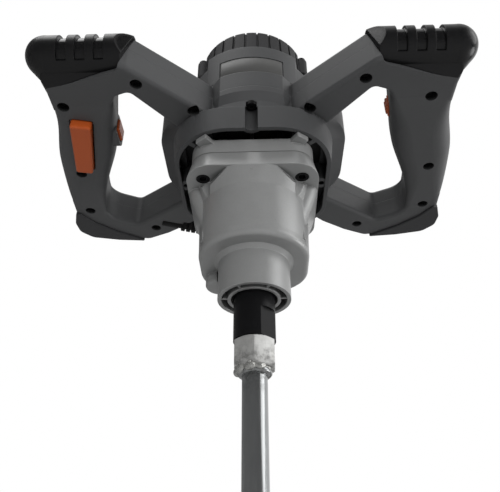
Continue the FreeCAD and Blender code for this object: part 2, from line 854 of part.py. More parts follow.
def bumper_grooves():
    half = groove_width / 2
    rings = []
    for x in groove_x:
        start = V(x - half, bar_y, bar_z)
        ring = Part.makeCylinder(bar_r + overrun, groove_width, start, V(1, 0, 0))
        rings.append(ring.cut(Part.makeCylinder(bar_r - groove_depth, groove_width, start, V(1, 0, 0))))
    front = box((0, far_reach), (-far_reach, groove_back_y), (groove_foot_z, cap_top_z))
    return joined(rings).common(front)


def bumper():
    body = bumper_bar(bar_r).fuse(bumper_heel())
    skin = body.common(bumper_zone()).cut(stub(core_inset))
    return skin.cut(bumper_grooves())


def rear_pad():
    solid = plate(rear_pad_plan, arm_low_z - pad_proud, arm_low_z + pad_thick - pad_proud)
    return softened(solid, pad_proud / 2, [arm_low_z - pad_proud])


# Controls
def trigger():
    solid = plate(trigger_plan(0), trigger_low_z, trigger_body_z)
    solid = softened(solid, trigger_soft_r, [trigger_low_z])
    middle, along, across = pin_frame()
    half = trigger_rear_w / 2
    ear = Part.makeCylinder(trigger_pin_r * 2, 2 * half, middle - across * half, across)
    bore_r = trigger_pin_r + run_gap
    bore = Part.makeCylinder(bore_r, 2 * trigger_front_w, middle - across * trigger_front_w, across)
    heel_at = V(*trigger_rear, 0) - along * trigger_tail
    heel = drum(trigger_tail / 2, trigger_body_z - overrun, trigger_tail_z, heel_at.x, heel_at.y)
    return joined([solid, ear, heel]).cut(bore)


def trigger_pin():
    middle, along, across = pin_frame()
    reach = trigger_front_w / 2 + trigger_gap + rib_wall * 2
    return Part.makeCylinder(trigger_pin_r, 2 * reach, middle - across * reach, across)


def switch_body():
    fx, fy = trigger_front
    rx, ry = trigger_rear
    start = V(fx + (rx - fx) * switch_front_share, fy + (ry - fy) * switch_front_share, 0)
    end = V(fx + (rx - fx) * switch_rear_share, fy + (ry - fy) * switch_rear_share, 0)
    along = (end - start).normalize()
    across = V(along.y, -along.x, 0)
    corners = [start + across * switch_half_w, end + across * switch_half_w,
               end - across * switch_half_w, start - across * switch_half_w]
    solid = plate([(c.x, c.y, rib_wall) for c in corners], switch_low_z, switch_high_z)
    return solid.cut(button_body(body_gap, button_boss_x - button_depth * 2, button_face_x))


def lock_button():
    solid = button_body(0, button_face_x - button_depth, button_face_x)
    edges = [e for e in solid.Edges if e.BoundBox.XMin > button_face_x - near]
    return solid.makeFillet(button_soft_r / 2, edges)


def speed_dial():
    low, high = dial_z - dial_half_h, dial_z + dial_half_h
    disc = drum(dial_r, low, high, dial_x, dial_y)
    notch = drum(dial_notch_r, low - overrun, high + overrun, dial_x + dial_r, dial_y)
    notches = [turned(notch, 360 * i / dial_notches, dial_x, dial_y) for i in range(dial_notches)]
    axle = drum(dial_axle_r, low - dial_axle_l, low + overrun, dial_x, dial_y)
    return disc.cut(joined(notches)).fuse(axle).removeSplitter()


def speed_module():
    case = box(module_x, module_y, module_z)
    top = dial_z - dial_half_h - body_gap
    ledge = box(module_ledge_x, module_ledge_y, (module_ledge_z, top))
    neck = box((module_neck_x, module_ledge_x[1]), (module_ledge_y[0], module_y[0] + overrun),
               (module_ledge_z, top))
    socket = drum(dial_axle_r + module_axle_gap, top - dial_axle_l, dial_z, dial_x, dial_y)
    return joined([case, ledge, neck]).cut(socket)


def cord_gland():
    start, way = gland_axis()
    step = gland_length / gland_rings
    body = [Part.makeCylinder(gland_neck_r, gland_length + gland_collar * 2, start - way * gland_collar, way)]
    for i in range(gland_rings):
        foot = start + way * (gland_collar + i * step)
        body.append(Part.makeCylinder(gland_r, step * gland_ring_share, foot, way))
    bore = Part.makeCylinder(gland_bore_r, gland_length * 3, start - way * gland_length, way)
    return joined(body).cut(bore)


# Motor end cap
def cap_ribs_ring():
    """Broad upright pads round the cap with narrow gaps between them."""
    half = cap_rib_w / 2
    leaf = box((cap_high_r - cap_wall, cap_low_r + cap_rib_h), (-half, half), (cap_low_z, cap_top_z))
    limit = taper(cap_low_r + cap_rib_h, cap_high_r + cap_rib_h, cap_low_z, cap_top_z)
    limit = softened(limit, cap_soft_r, [cap_top_z])
    return joined([turned(leaf, 360 * i / cap_ribs) for i in range(cap_ribs)]).common(limit)


def cap_air_slots():
    half = cap_slot_w / 2
    slot = box((cap_slot_in_r, cap_slot_out_r), (-half, half),
               (cap_top_z - cap_wall - overrun, cap_top_z + overrun))
    return joined([turned(slot, 360 * i / cap_slots) for i in range(cap_slots)])


def ear_places():
    return [(sx * ear_x, sy * ear_y) for sx in (1, -1) for sy in (1, -1)]


def cap_wells():
    """Screw wells let into the cap's wall, each closed towards the motor."""
    reach = cap_screw_head_r + seat_gap + cap_well_wall
    cone = taper(cap_low_r, cap_high_r, cap_low_z, cap_top_z)
    posts = [drum(reach, cap_low_z, cap_top_z - cap_wall, x, y) for x, y in ear_places()]
    ears = [drum(ear_r, cap_low_z, ear_top_z, x, y) for x, y in ear_places()]
    return joined([joined(posts).common(cone)] + ears)


def motor_end_cap():
    body = taper(cap_low_r, cap_high_r, cap_low_z, cap_top_z)
    body = softened(body, cap_soft_r, [cap_top_z])
    room = taper(cap_low_r - cap_wall, cap_high_r - cap_wall, cap_low_z - overrun, cap_top_z - cap_wall)
    hub = tube(cap_hub_r, upper_bearing_r, upper_bearing_z[0], cap_top_z - cap_wall + overrun)
    solid = joined([joined([body, cap_ribs_ring()]).cut(room), hub, cap_wells()])
    holes = [drum(cap_screw_r + seat_gap, cap_low_z - overrun, cap_top_z, x, y) for x, y in ear_places()]
    well_r = cap_screw_head_r + seat_gap
    wells = [drum(well_r, ear_top_z, cap_top_z + overrun, x, y) for x, y in ear_places()]
    return solid.cut(joined(holes + wells)).cut(cap_air_slots())


def cap_screws():
    screws = []
    high = ear_top_z + cap_screw_head_h
    for x, y in ear_places():
        head = drum(cap_screw_head_r, ear_top_z, high, x, y)
        socket = drum(screw_recess_r, high - screw_recess_d, high + overrun, x, y)
        shank = drum(cap_screw_r, cap_screw_low_z, ear_top_z + overrun, x, y)
        screws.append(head.fuse(shank).cut(socket).removeSplitter())
    return Part.makeCompound(screws)


# Gear housing
def gear_tabs():
    half = tab_width / 2
    leaf = box((tab_root - tab_width, tab_reach), (-half, half), (plate_top_z - tab_thick, plate_top_z))
    return joined([turned(leaf, a) for a in tab_azimuths_deg])


def flange_plan(inset=0):
    return round_box_plan(flange_half, -flange_half, flange_half, flange_corner_r, inset)


def top_plan(inset=0):
    return round_box_plan(top_half, -top_half, top_half, top_corner_r, inset)


def screw_corners():
    return [(side * gear_screw_x, y) for side in (1, -1) for y in gear_screw_rows]


def barrel():
    """Round block that leans forward and grows into the flange."""
    low = bowl_plan(block_r, -block_r, block_rear, block_front_soft_r, block_rear_soft_r)
    middle = outline(bowl_plan(*barrel_middle), barrel_middle_z)
    high = bowl_plan(barrel_half_x, -flange_half, flange_half, barrel_soft_r, barrel_soft_r)
    foot = softened(plate(low, block_low_z, block_foot_z), block_soft_r, [block_low_z])
    return foot.fuse(ruled([outline(low, block_foot_z), middle, outline(high, flange_low_z)]))


def cheeks():
    """Swelling sides between the front and rear screws."""
    wires = []
    for z, half in cheek_rows:
        wires.append(outline(round_box_plan(half, -cheek_half_y, cheek_half_y, cheek_soft_r), z))
    return Part.makeLoft(wires, True, False)


def pocket_wire(z, lean):
    far = flange_half * 2
    (ax, ay), (bx, by), (cx, cy) = pocket_plan
    corners = [(ax, ay, 0), (bx, by, 0), (cx, cy, 0), (far, cy, 0), (far, -far, 0), (ax, -far, 0)]
    return outline([(x + lean, y - lean, r) for x, y, r in corners], z)


def screw_pockets():
    """Leaning corners under the flange, scalloped so that a driver reaches the screws."""
    front = ruled([pocket_wire(pocket_low_z, pocket_lean), pocket_wire(flange_low_z, 0)])
    wells = [drum(gear_screw_head_r + body_gap, block_low_z - overrun, flange_low_z, gear_screw_x, y)
             for y in gear_screw_rows]
    return both_sides(joined([front] + wells))


def lug():
    boss = softened(drum(lug_r, lug_low_z, block_foot_z, *lug_spot), lug_soft_r, [lug_low_z])
    return boss.cut(drum(nose_r + lug_air, nose_end_z, block_low_z))


def casting_ribs():
    leaf = box((block_r - casting_wall, block_r + rib_proud), (-rib_w / 2, rib_w / 2),
               (block_foot_z, rib_top_z))
    return joined([turned(leaf, a - 90) for a in rib_azimuths_deg])


def casting_outside():
    flange = ruled([outline(flange_plan(), flange_low_z), outline(top_plan(), casting_top_z)])
    root = taper(nose_r, nose_r + nose_soft_r, block_low_z - nose_soft_r, block_low_z + near)
    nose = drum(nose_r, nose_end_z, block_low_z + overrun)
    under = joined([barrel(), cheeks(), casting_ribs()]).cut(screw_pockets())
    return joined([under, flange, root, nose, lug()])


def nose_recess():
    ring = tube(nose_r - nose_wall, nose_ring_out_r, nose_end_z - overrun, nose_recess_z)
    half = nose_rib_w / 2
    leaf = box((nose_ring_in_r, nose_r), (-half, half), (nose_end_z + overrun, nose_recess_z + overrun))
    return ring.cut(joined([turned(leaf, 360 * i / nose_rib_count) for i in range(nose_rib_count)]))


def casting_cavity():
    """Rooms for the gears, with the web that carries the upper spindle bearing left standing."""
    low_room = drum(block_r - casting_wall, bearing_low_z[1] + casting_floor, web_z[0])
    lay_room = drum(lay_cavity_r, web_z[1], casting_top_z + overrun, 0, shaft_distance)
    top_room = drum(block_r - casting_wall, web_z[1], casting_top_z + overrun)
    lay_pass = drum(lay_shoulder_r + shaft_gap, web_z[0] - overrun, web_z[1] + overrun, 0, shaft_distance)
    seat = drum(bearing_high_out_r, bearing_high_z[0], web_z[1] + overrun)
    neck = drum(spindle_top_r + shaft_gap, web_z[0] - overrun, web_z[1])
    return joined([low_room, lay_room, top_room, lay_pass, seat, neck])


def gear_seat_z():
    """Height of the face that a gearbox screw's head rests on."""
    return flange_low_z + gear_screw_head_h


def gear_housing():
    solid = casting_outside().cut(nose_recess())
    floor = bearing_low_z[1] + casting_floor
    bores = [drum(nose_ring_in_r, nose_end_z - overrun, seal_bore_z),
             drum(seal_out_r, seal_bore_z, bearing_low_z[0]),
             drum(bearing_low_out_r, bearing_low_z[0], floor + overrun)]
    solid = solid.cut(joined(bores + [casting_cavity()]))
    post = drum(lay_bush_r + casting_wall, floor, lay_bush_low_z[1], 0, shaft_distance)
    post = post.common(drum(block_r - casting_wall + overrun, block_low_z, web_z[1]))
    post = post.cut(drum(spindle_r + lay_post_air, block_low_z, web_z[1]))
    holes = [drum(lay_bush_r, lay_bush_low_z[0], lay_bush_low_z[1] + overrun, 0, shaft_distance)]
    hole_r = gear_screw_r + seat_gap
    seat, head_r = gear_seat_z(), gear_screw_head_r + seat_gap
    holes += [drum(hole_r, flange_low_z - overrun, casting_top_z + overrun, x, y) for x, y in screw_corners()]
    holes += [drum(head_r, flange_low_z - overrun, seat, x, y) for x, y in screw_corners()]
    return joined([solid, post]).cut(joined(holes))


def gear_plate():
    solid = joined([plate(top_plan(), casting_top_z, plate_top_z), gear_tabs()])
    cuts = [drum(lower_bearing_r, lower_bearing_z[0], plate_top_z + overrun),
            drum(lay_bush_r, casting_top_z - overrun, lay_bush_high_z[1], 0, shaft_distance),
            drum(lower_bearing_r - wall, casting_top_z - overrun, lower_bearing_z[0])]
    cuts += [drum(gear_screw_r + seat_gap, casting_top_z - overrun, plate_top_z + overrun, x, y)
             for x, y in screw_corners()]
    return solid.cut(joined(cuts))


def gearbox_screws():
    screws = []
    seat = gear_seat_z()
    for x, y in screw_corners():
        head = drum(gear_screw_head_r, flange_low_z, seat, x, y)
        socket = drum(gear_screw_socket_r, flange_low_z - overrun, flange_low_z + gear_screw_socket_d, x, y)
        shank = drum(gear_screw_r, seat - overrun, gear_screw_tip_z - overrun, x, y)
        screws.append(head.fuse(shank).cut(socket).removeSplitter())
    return Part.makeCompound(screws)


# Gears
def involute(base_r, radius):
    return math.sqrt((radius / base_r) ** 2 - 1) - math.acos(base_r / radius)


def gear_wire(module, teeth, shift, start_deg, x, y, z):
    """Outline of an involute gear with one tooth centred at start_deg."""
    pitch_r = module * teeth / 2
    base_r = pitch_r * math.cos(math.radians(pressure_deg))
    tip_r = pitch_r + module * (1 + shift) - tip_relief
    root_r = pitch_r - module * (root_share - shift)
    half_pitch = math.pi / (2 * teeth) + 2 * shift * math.tan(math.radians(pressure_deg)) / teeth
    half_pitch -= tooth_backlash / (2 * pitch_r)
    at_pitch = involute(base_r, pitch_r)
    first = max(base_r, root_r)
    flank = []
    for i in range(flank_steps + 1):
        radius = first + (tip_r - first) * i / flank_steps
        flank.append((radius, half_pitch + at_pitch - involute(base_r, radius)))
    if root_r < base_r:
        flank.insert(0, (root_r, flank[0][1]))
    points = []
    for tooth in range(teeth):
        centre = math.radians(start_deg) + 2 * math.pi * tooth / teeth
        for radius, angle in flank:
            points.append((radius, centre - angle))
        for radius, angle in reversed(flank):
            points.append((radius, centre + angle))
    corners = [V(x + r * math.cos(a), y + r * math.sin(a), z) for r, a in points]
    return Part.makePolygon(corners + corners[:1])


def gear(module, teeth, shift, start_deg, x, y, span, bore_r):
    rim = gear_wire(module, teeth, shift, start_deg, x, y, span[0])
    solid = Part.Face(rim).extrude(V(0, 0, span[1] - span[0]))
    return solid.cut(drum(bore_r, span[0] - overrun, span[1] + overrun, x, y)) if bore_r else solid


def layshaft_gear():
    half_tooth = 180 / teeth_two
    return gear(module_one, teeth_two, -shift_share, 270 + half_tooth, 0, shaft_distance, stage_one_z, lay_r)


def layshaft():
    pinion = gear(module_two, teeth_three, shift_share, 270, 0, shaft_distance, stage_two_z, 0)
    low = drum(lay_r, lay_low_z, stage_two_z[0] + overrun, 0, shaft_distance)
    collar = drum(lay_shoulder_r, stage_two_z[1] + body_gap, stage_one_z[0] - seat_gap, 0, shaft_distance)
    high = drum(lay_r, stage_two_z[1], lay_high_z, 0, shaft_distance)
    return joined([pinion, low, collar, high])


def output_gear():
    half_tooth = 180 / teeth_four
    return gear(module_two, teeth_four, -shift_share, 90 + half_tooth, 0, 0, stage_two_z, spindle_seat_r)


def bush(span):
    return tube(lay_bush_r, lay_r + run_gap, span[0], span[1], 0, shaft_distance)


def bearing(out_r, in_r, span):
    """Two races with the ball space between them drawn as a shallow groove."""
    ring = tube(out_r, in_r, span[0], span[1])
    middle, half = (out_r + in_r) / 2, (out_r - in_r) * bearing_race_share / 2
    depth = half / 2
    for low, high in ((span[0] - overrun, span[0] + depth), (span[1] - depth, span[1] + overrun)):
        ring = ring.cut(tube(middle + half, middle - half, low, high))
    return ring


# Spindle
def spindle():
    solid = joined([drum(spindle_r, spindle_low_z, ring_z[0] - seat_gap),
                    drum(spindle_seat_r, spindle_low_z, stage_two_z[1]),
                    drum(spindle_top_r, spindle_low_z, spindle_top_z)])
    reach = spindle_r * 2
    for far in ((flat_half, reach), (-reach, -flat_half)):
        flat = box((-reach, reach), far, (spindle_low_z - overrun, flat_top_z))
        solid = solid.cut(turned(flat, flat_turn_deg))
    return solid.cut(drum(thread_bore_r, spindle_low_z - overrun, thread_bore_z))


def retaining_ring():
    return tube(ring_out_r, spindle_seat_r, ring_z[0], ring_z[1])


def spindle_seal():
    return tube(seal_out_r, spindle_r + run_gap, seal_z[0], seal_z[1])


# Motor
def armature_shaft():
    pinion = gear(module_one, teeth_one, shift_share, 90, 0, 0, (armature_low_z, armature_pinion_top_z), 0)
    neck = drum(armature_neck_r, armature_low_z + overrun, lower_bearing_z[0])
    return joined([pinion, neck, drum(armature_r, lower_bearing_z[0] - overrun, armature_high_z)])


def slot_cutter(grow):
    half = core_slot_w / 2 - grow
    deep = box((core_slot_in_r + grow, core_r - core_lip - grow), (-half, half), core_z)
    return deep


def armature_core():
    solid = tube(core_r, armature_r, core_z[0], core_z[1])
    mouth = box((core_slot_in_r, core_r + overrun), (-core_mouth_w / 2, core_mouth_w / 2), core_z)
    cutter = slot_cutter(0).fuse(mouth)
    return solid.cut(joined([turned(cutter, 360 * i / core_slots) for i in range(core_slots)]))


def armature_windings():
    low = tube(winding_r, armature_r + wall, winding_low_z, core_z[0])
    high = tube(winding_r, armature_r + wall, core_z[1], winding_high_z)
    low = softened(low, winding_soft_r, [winding_low_z])
    high = softened(high, winding_soft_r, [winding_high_z])
    fills = [turned(slot_cutter(slot_fill_gap), 360 * i / core_slots) for i in range(core_slots)]
    return joined([low, high] + fills)


def commutator():
    solid = tube(commutator_r, armature_r, commutator_z[0], commutator_z[1])
    half = commutator_slit_w / 2
    slit = box((commutator_r - commutator_slit_d, commutator_r + overrun), (-half, half),
               (commutator_z[0] + overrun, commutator_z[1] + overrun))
    return solid.cut(joined([turned(slit, 360 * i / commutator_bars) for i in range(commutator_bars)]))


def cooling_fan():
    disc = drum(fan_r, fan_z[1] - fan_disc, fan_z[1])
    hub = drum(fan_hub_r, fan_z[0], fan_z[1])
    blade = box((fan_blade_in_r, fan_r), (-fan_blade_w / 2, fan_blade_w / 2), fan_z)
    blades = [turned(blade, 360 * i / fan_blades) for i in range(fan_blades)]
    return joined([disc, hub] + blades).cut(drum(armature_r, fan_z[0] - overrun, fan_z[1] + overrun))


def fan_baffle():
    """Plate across the skirt that makes the fan draw its air through the motor."""
    low, high = baffle_z[0] - overrun, baffle_z[1] + overrun
    sheet = plate(bowl_plan(*rim_row, wall + baffle_edge), *baffle_z)
    notch = both_sides(drum(side_boss_r + body_gap, low, high, side_boss_x, side_boss_y))
    channel = drum(channel_boss_r + body_gap, low, high, 0, channel_y)
    return sheet.cut(joined([drum(baffle_in_r, low, high), notch, channel]))


def pole_wedge(in_r, out_r):
    angle = math.radians(pole_half_deg)
    far = out_r * 2
    x, y, z = far * math.cos(angle), far * math.sin(angle), core_z[0]
    wedge = Part.makePolygon([V(0, 0, z), V(x, -y, z), V(far, 0, z), V(x, y, z), V(0, 0, z)])
    wedge = Part.Face(wedge).extrude(V(0, 0, core_z[1] - z))
    return tube(out_r, in_r, z, core_z[1]).common(wedge)


def field_core():
    yoke = tube(field_r, field_yoke_r, core_z[0], core_z[1])
    shoe = pole_wedge(pole_r, pole_shoe_r)
    neck = box((pole_r, field_yoke_r + overrun), (-pole_neck_w / 2, pole_neck_w / 2), core_z)
    neck = neck.cut(drum(pole_r, core_z[0] - overrun, core_z[1] + overrun))
    return joined([yoke] + [turned(s, a) for s in (shoe, neck) for a in (0, 180)])


def field_coil():
    """Wire bundle round one pole: a ring bent to the core's curve."""
    half = pole_neck_w / 2 + coil_gap
    outer = box((0, field_yoke_r), (-half - coil_wall, half + coil_wall), (coil_low_z, coil_high_z))
    inner = box((-overrun, field_yoke_r + overrun), (-half, half),
                (core_z[0] - coil_gap, core_z[1] + coil_gap))
    ring = tube(coil_out_r, coil_in_r, coil_low_z, coil_high_z)
    return ring.common(outer.cut(inner))


def field_coils():
    coil = field_coil()
    return Part.makeCompound([coil, turned(coil, 180)])


def brush_body(grow, in_r, out_r):
    half, tall = brush_w / 2 + grow, brush_h / 2 + grow
    return box((-half, half), (in_r, out_r), (brush_z - tall, brush_z + tall))


def carbon_brushes():
    brush = brush_body(0, brush_in_r, brush_out_r)
    brush = brush.cut(drum(commutator_r + run_gap, brush_z - brush_h, brush_z + brush_h))
    return Part.makeCompound([brush, turned(brush, 180)])


def brush_holders():
    case = brush_body(holder_wall, holder_in_r, holder_out_r)
    case = case.cut(brush_body(seat_gap, 0, holder_out_r - holder_wall))
    return Part.makeCompound([case, turned(case, 180)])


# Stirrer
def hexagon(across, low, high):
    corner_r = across / 2 / math.cos(math.radians(30))
    angles = [math.radians(60 * i + 30) for i in range(6)]
    corners = [V(corner_r * math.cos(a), corner_r * math.sin(a), low) for a in angles]
    return Part.Face(Part.makePolygon(corners + corners[:1])).extrude(V(0, 0, high - low))


def stirrer_hex():
    return joined([hexagon(hex_across, hex_low_z, spindle_low_z), drum(stud_r, hex_low_z, stud_top_z)])


def stirrer_rod():
    bead = Part.makeTorus(weld_out_r, weld_r, V(0, 0, hex_low_z - weld_r))
    bead = bead.common(drum(hex_across, hex_low_z - weld_r * 2, hex_low_z))
    return joined([drum(rod_r, rod_low_z, hex_low_z), bead])


def blade_row(share):
    z = blade_low_z + (blade_high_z - blade_low_z) * share
    low_r = hoop_r - hoop_wall - seat_gap
    out = low_r + (blade_top_r - low_r) * share * share
    half = blade_thick / 2
    corners = [V(blade_in_r, -half, z), V(out, -half, z), V(out, half, z), V(blade_in_r, half, z)]
    wire = Part.makePolygon(corners + corners[:1])
    wire.rotate(V(0, 0, 0), V(0, 0, 1), blade_turn_deg * share)
    return wire


def stirrer_blades():
    rows = [blade_row(i / (blade_steps - 1)) for i in range(blade_steps)]
    blade = Part.makeLoft(rows, True, False).cut(drum(rod_r, rod_low_z, hex_low_z))
    return Part.makeCompound([turned(blade, 360 * i / blade_count) for i in range(blade_count)])


def stirrer_hoop():
    hoop = tube(hoop_r, hoop_r - hoop_wall, hoop_z[0], hoop_z[1])
    spoke = box((0, hoop_r - hoop_wall / 2), (-spoke_w / 2, spoke_w / 2), (hoop_z[0], hoop_z[0] + spoke_h))
    spokes = [turned(spoke, 360 * i / blade_count) for i in range(blade_count)]
    return joined([hoop] + spokes).cut(drum(rod_r, rod_low_z - overrun, hex_low_z))


def build():
    lower, upper, inside = shells()
    pieces = {
        "lower_shell": lower_shell(lower, inside),
        "upper_shell": upper_shell(upper, inside),
        "right_bumper": bumper(),
        "right_rear_pad": rear_pad(),
        "handle_screws": handle_screws(),
        "trigger": trigger(),
        "trigger_pin": trigger_pin(),
        "switch_body": switch_body(),
        "lock_button": lock_button(),
        "speed_dial": speed_dial(),
        "speed_module": speed_module(),
        "cord_gland": cord_gland(),
        "motor_end_cap": motor_end_cap(),
        "cap_screws": cap_screws(),
        "gear_housing": gear_housing(),
        "gear_plate": gear_plate(),
        "gearbox_screws": gearbox_screws(),
        "layshaft": layshaft(),
        "layshaft_gear": layshaft_gear(),
        "layshaft_low_bush": bush(lay_bush_low_z),
        "layshaft_high_bush": bush(lay_bush_high_z),
        "output_gear": output_gear(),
        "spindle": spindle(),
        "spindle_low_bearing": bearing(bearing_low_out_r, spindle_r + run_gap, bearing_low_z),
        "spindle_high_bearing": bearing(bearing_high_out_r, spindle_top_r + run_gap, bearing_high_z),
        "retaining_ring": retaining_ring(),
        "spindle_seal": spindle_seal(),
        "armature_shaft": armature_shaft(),
        "armature_core": armature_core(),
        "armature_windings": armature_windings(),
        "commutator": commutator(),
        "cooling_fan": cooling_fan(),
        "fan_baffle": fan_baffle(),
        "armature_low_bearing": bearing(lower_bearing_r, armature_r + run_gap, lower_bearing_z),
        "armature_high_bearing": bearing(upper_bearing_r, armature_r + run_gap, upper_bearing_z),
        "field_core": field_core(),
        "field_coils": field_coils(),
        "carbon_brushes": carbon_brushes(),
        "brush_holders": brush_holders(),
        "stirrer_hex": stirrer_hex(),
        "stirrer_rod": stirrer_rod(),
        "stirrer_blades": stirrer_blades(),
        "stirrer_hoop": stirrer_hoop(),
    }
    pieces["left_bumper"] = mirrored(pieces["right_bumper"])
    pieces["left_rear_pad"] = mirrored(pieces["right_rear_pad"])
    return pieces


os.makedirs("parts", exist_ok=True)
for name, shape in build().items():
    shape.exportStep("parts/" + name + ".step")
    span = shape.BoundBox
    print(name, len(shape.Solids), shape.isValid(), round(shape.Volume),
          round(span.ZMin, 1), round(span.ZMax, 1))
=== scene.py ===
# %% [markdown]
# # A two-handled mixing drill, dressed for its portrait
#
# The drill arrives as a packed engineering model: every shell, gear and screw is already at its
# real size and place. This lesson adds what such a model lacks, which is light, a camera and the
# finishes that tell moulded plastic, rubber, painted casting and zinc-plated steel apart.
# The model is loaded first and its outer box is kept, so that at the end we can prove that
# nothing we added changed the size of the tool.

import math

import bpy
from mathutils import Matrix, Vector


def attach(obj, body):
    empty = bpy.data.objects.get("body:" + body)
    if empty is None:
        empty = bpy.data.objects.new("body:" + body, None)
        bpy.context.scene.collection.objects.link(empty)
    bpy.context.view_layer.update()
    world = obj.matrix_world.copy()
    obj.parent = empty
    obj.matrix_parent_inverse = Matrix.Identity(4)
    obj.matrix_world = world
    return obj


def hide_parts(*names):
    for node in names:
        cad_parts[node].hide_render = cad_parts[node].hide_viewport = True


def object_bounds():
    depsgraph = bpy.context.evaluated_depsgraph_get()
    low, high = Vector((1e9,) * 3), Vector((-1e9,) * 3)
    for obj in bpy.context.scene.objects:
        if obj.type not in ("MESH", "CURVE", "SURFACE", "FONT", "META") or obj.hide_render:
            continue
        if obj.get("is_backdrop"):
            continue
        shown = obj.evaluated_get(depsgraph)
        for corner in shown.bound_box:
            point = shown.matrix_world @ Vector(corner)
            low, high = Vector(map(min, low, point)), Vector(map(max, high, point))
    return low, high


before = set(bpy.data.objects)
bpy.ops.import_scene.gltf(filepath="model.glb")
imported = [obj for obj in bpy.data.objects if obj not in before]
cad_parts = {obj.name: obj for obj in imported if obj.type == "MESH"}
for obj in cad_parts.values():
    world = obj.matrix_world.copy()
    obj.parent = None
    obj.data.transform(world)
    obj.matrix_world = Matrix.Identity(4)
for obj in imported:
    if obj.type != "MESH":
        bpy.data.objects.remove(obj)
cad_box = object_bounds()
MM = 0.001
print("pieces in the model:", len(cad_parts))

# %% [markdown]
# ## The camera
#
# The photograph was taken from below and in front, close to the collar, looking up at about
# 33 degrees. Matching a camera by eye takes long, so here its place and three angles come from a
# fit of measured points, and we only turn them into a rotation matrix: a camera looks along its
# own -Z, its +X is the right of the picture and its +Y the top.

# %% Place the camera
PICTURE_WIDTH, FOCAL_PIXELS, SENSOR_MM = 500, 600.0, 36.0
CAMERA_MM = Vector((6.865, -308.681, -164.915))
PITCH, YAW, ROLL = (math.radians(a) for a in (33.2912, -1.7239, -0.1457))
NEAREST = 0.01

forward = Vector((math.sin(YAW) * math.cos(PITCH), math.cos(YAW) * math.cos(PITCH), math.sin(PITCH)))
level_right = Vector((math.cos(YAW), -math.sin(YAW), 0))
level_up = level_right.cross(forward)
right = math.cos(ROLL) * level_right + math.sin(ROLL) * level_up
up = -math.sin(ROLL) * level_right + math.cos(ROLL) * level_up

lens = bpy.data.cameras.new("portrait_camera")
lens.sensor_width = SENSOR_MM
lens.lens = FOCAL_PIXELS / PICTURE_WIDTH * SENSOR_MM
lens.clip_start = NEAREST
camera = bpy.data.objects.new("portrait_camera", lens)
bpy.context.scene.collection.objects.link(camera)
turn = Matrix((right, up, -forward)).transposed().to_4x4()
camera.matrix_world = Matrix.Translation(CAMERA_MM * MM) @ turn
bpy.context.scene.camera = camera
print("camera lens", round(lens.lens, 1), "mm, at", [round(c) for c in CAMERA_MM], "mm")

# %% [markdown]
# ## Shader maths as plain expressions
#
# Node trees get long when every sum is three lines of code. This small class wraps one socket, so
# that `grain * 0.4 + 0.3` adds the Math nodes by itself. Anything that isn't arithmetic goes
# through `node`, which takes the node's type, its settings and what feeds its sockets.

# %% A class that wraps a socket
class Field:
    def __init__(self, tree, socket=None):
        self.tree, self.socket = tree, socket

    def node(self, kind, settings=None, inputs=None, output=0):
        made = self.tree.nodes.new("ShaderNode" + kind)
        for name, value in (settings or {}).items():
            setattr(made, name, value)
        for name, value in (inputs or {}).items():
            self.feed(made.inputs[name], value)
        return Field(self.tree, made.outputs[output])

    def feed(self, socket, value):
        if isinstance(value, Field):
            self.tree.links.new(value.socket, socket)
        else:
            socket.default_value = value

    def math(self, operation, *values):
        return self.node("Math", {"operation": operation}, dict(enumerate(values or [self])))

    def __add__(self, other): return self.math("ADD", self, other)
    def __radd__(self, other): return self.math("ADD", other, self)
    def __sub__(self, other): return self.math("SUBTRACT", self, other)
    def __rsub__(self, other): return self.math("SUBTRACT", other, self)
    def __mul__(self, other): return self.math("MULTIPLY", self, other)
    def __rmul__(self, other): return self.math("MULTIPLY", other, self)

    def ramp(self, low, high):
        """0 below low, 1 above high, straight in between."""
        limits = {"Value": self, "From Min": low, "From Max": high}
        return self.node("MapRange", {"clamp": True}, limits)

    def mix(self, first, second):
        """A colour between two colours, with this value as the share of the second."""
        return self.node("Mix", {"data_type": "RGBA"}, {0: self, 6: first, 7: second}, 2)

    def swing(self, amount):
        """The value, which runs from 0 to 1, as a change by up to half the amount either way."""
        return (self - 0.5) * amount


print("expressions ready:", [name for name in vars(Field) if not name.startswith("__")])

# %% [markdown]
# ## What every finish needs
#
# A finish starts as a new material with a reader for the piece's own coordinates, because a pattern
# tied to those stays put when the piece moves. Almost everything else is cloudy noise at some size,
# and a few short helpers keep the recipes below readable.

# %% Helpers for finishes
def finish(name):
    """A new material, its shader, and a Field that reads the piece's own coordinates."""
    material = bpy.data.materials.new(name)
    material.use_nodes = True
    tree = material.node_tree
    return material, tree.nodes["Principled BSDF"], Field(tree).node("TexCoord", output="Object")


def noise(place, size_mm, detail=2.0, rough=0.5):
    """Cloudy noise whose blotches are about size_mm across."""
    return place.node("TexNoise", inputs={"Vector": place, "Scale": 1 / (size_mm * MM),
                                          "Detail": detail, "Roughness": rough})


def grey(value):
    return (value, value, value, 1.0)


def brighter(colour, factor):
    return tuple(min(1.0, c * factor) for c in colour[:3]) + (1.0,)


def millimetres(place, axis):
    """One coordinate of a point of the piece, in millimetres."""
    return place.node("SeparateXYZ", inputs={"Vector": place}, output=axis) * (1 / MM)


def connect(shader, **sockets):
    """Feed shader sockets: names with spaces are written with underscores."""
    wires = Field(shader.id_data)
    for name, value in sockets.items():
        wires.feed(shader.inputs[name.replace("_", " ")], value)


print("a mid grey is", grey(0.5))

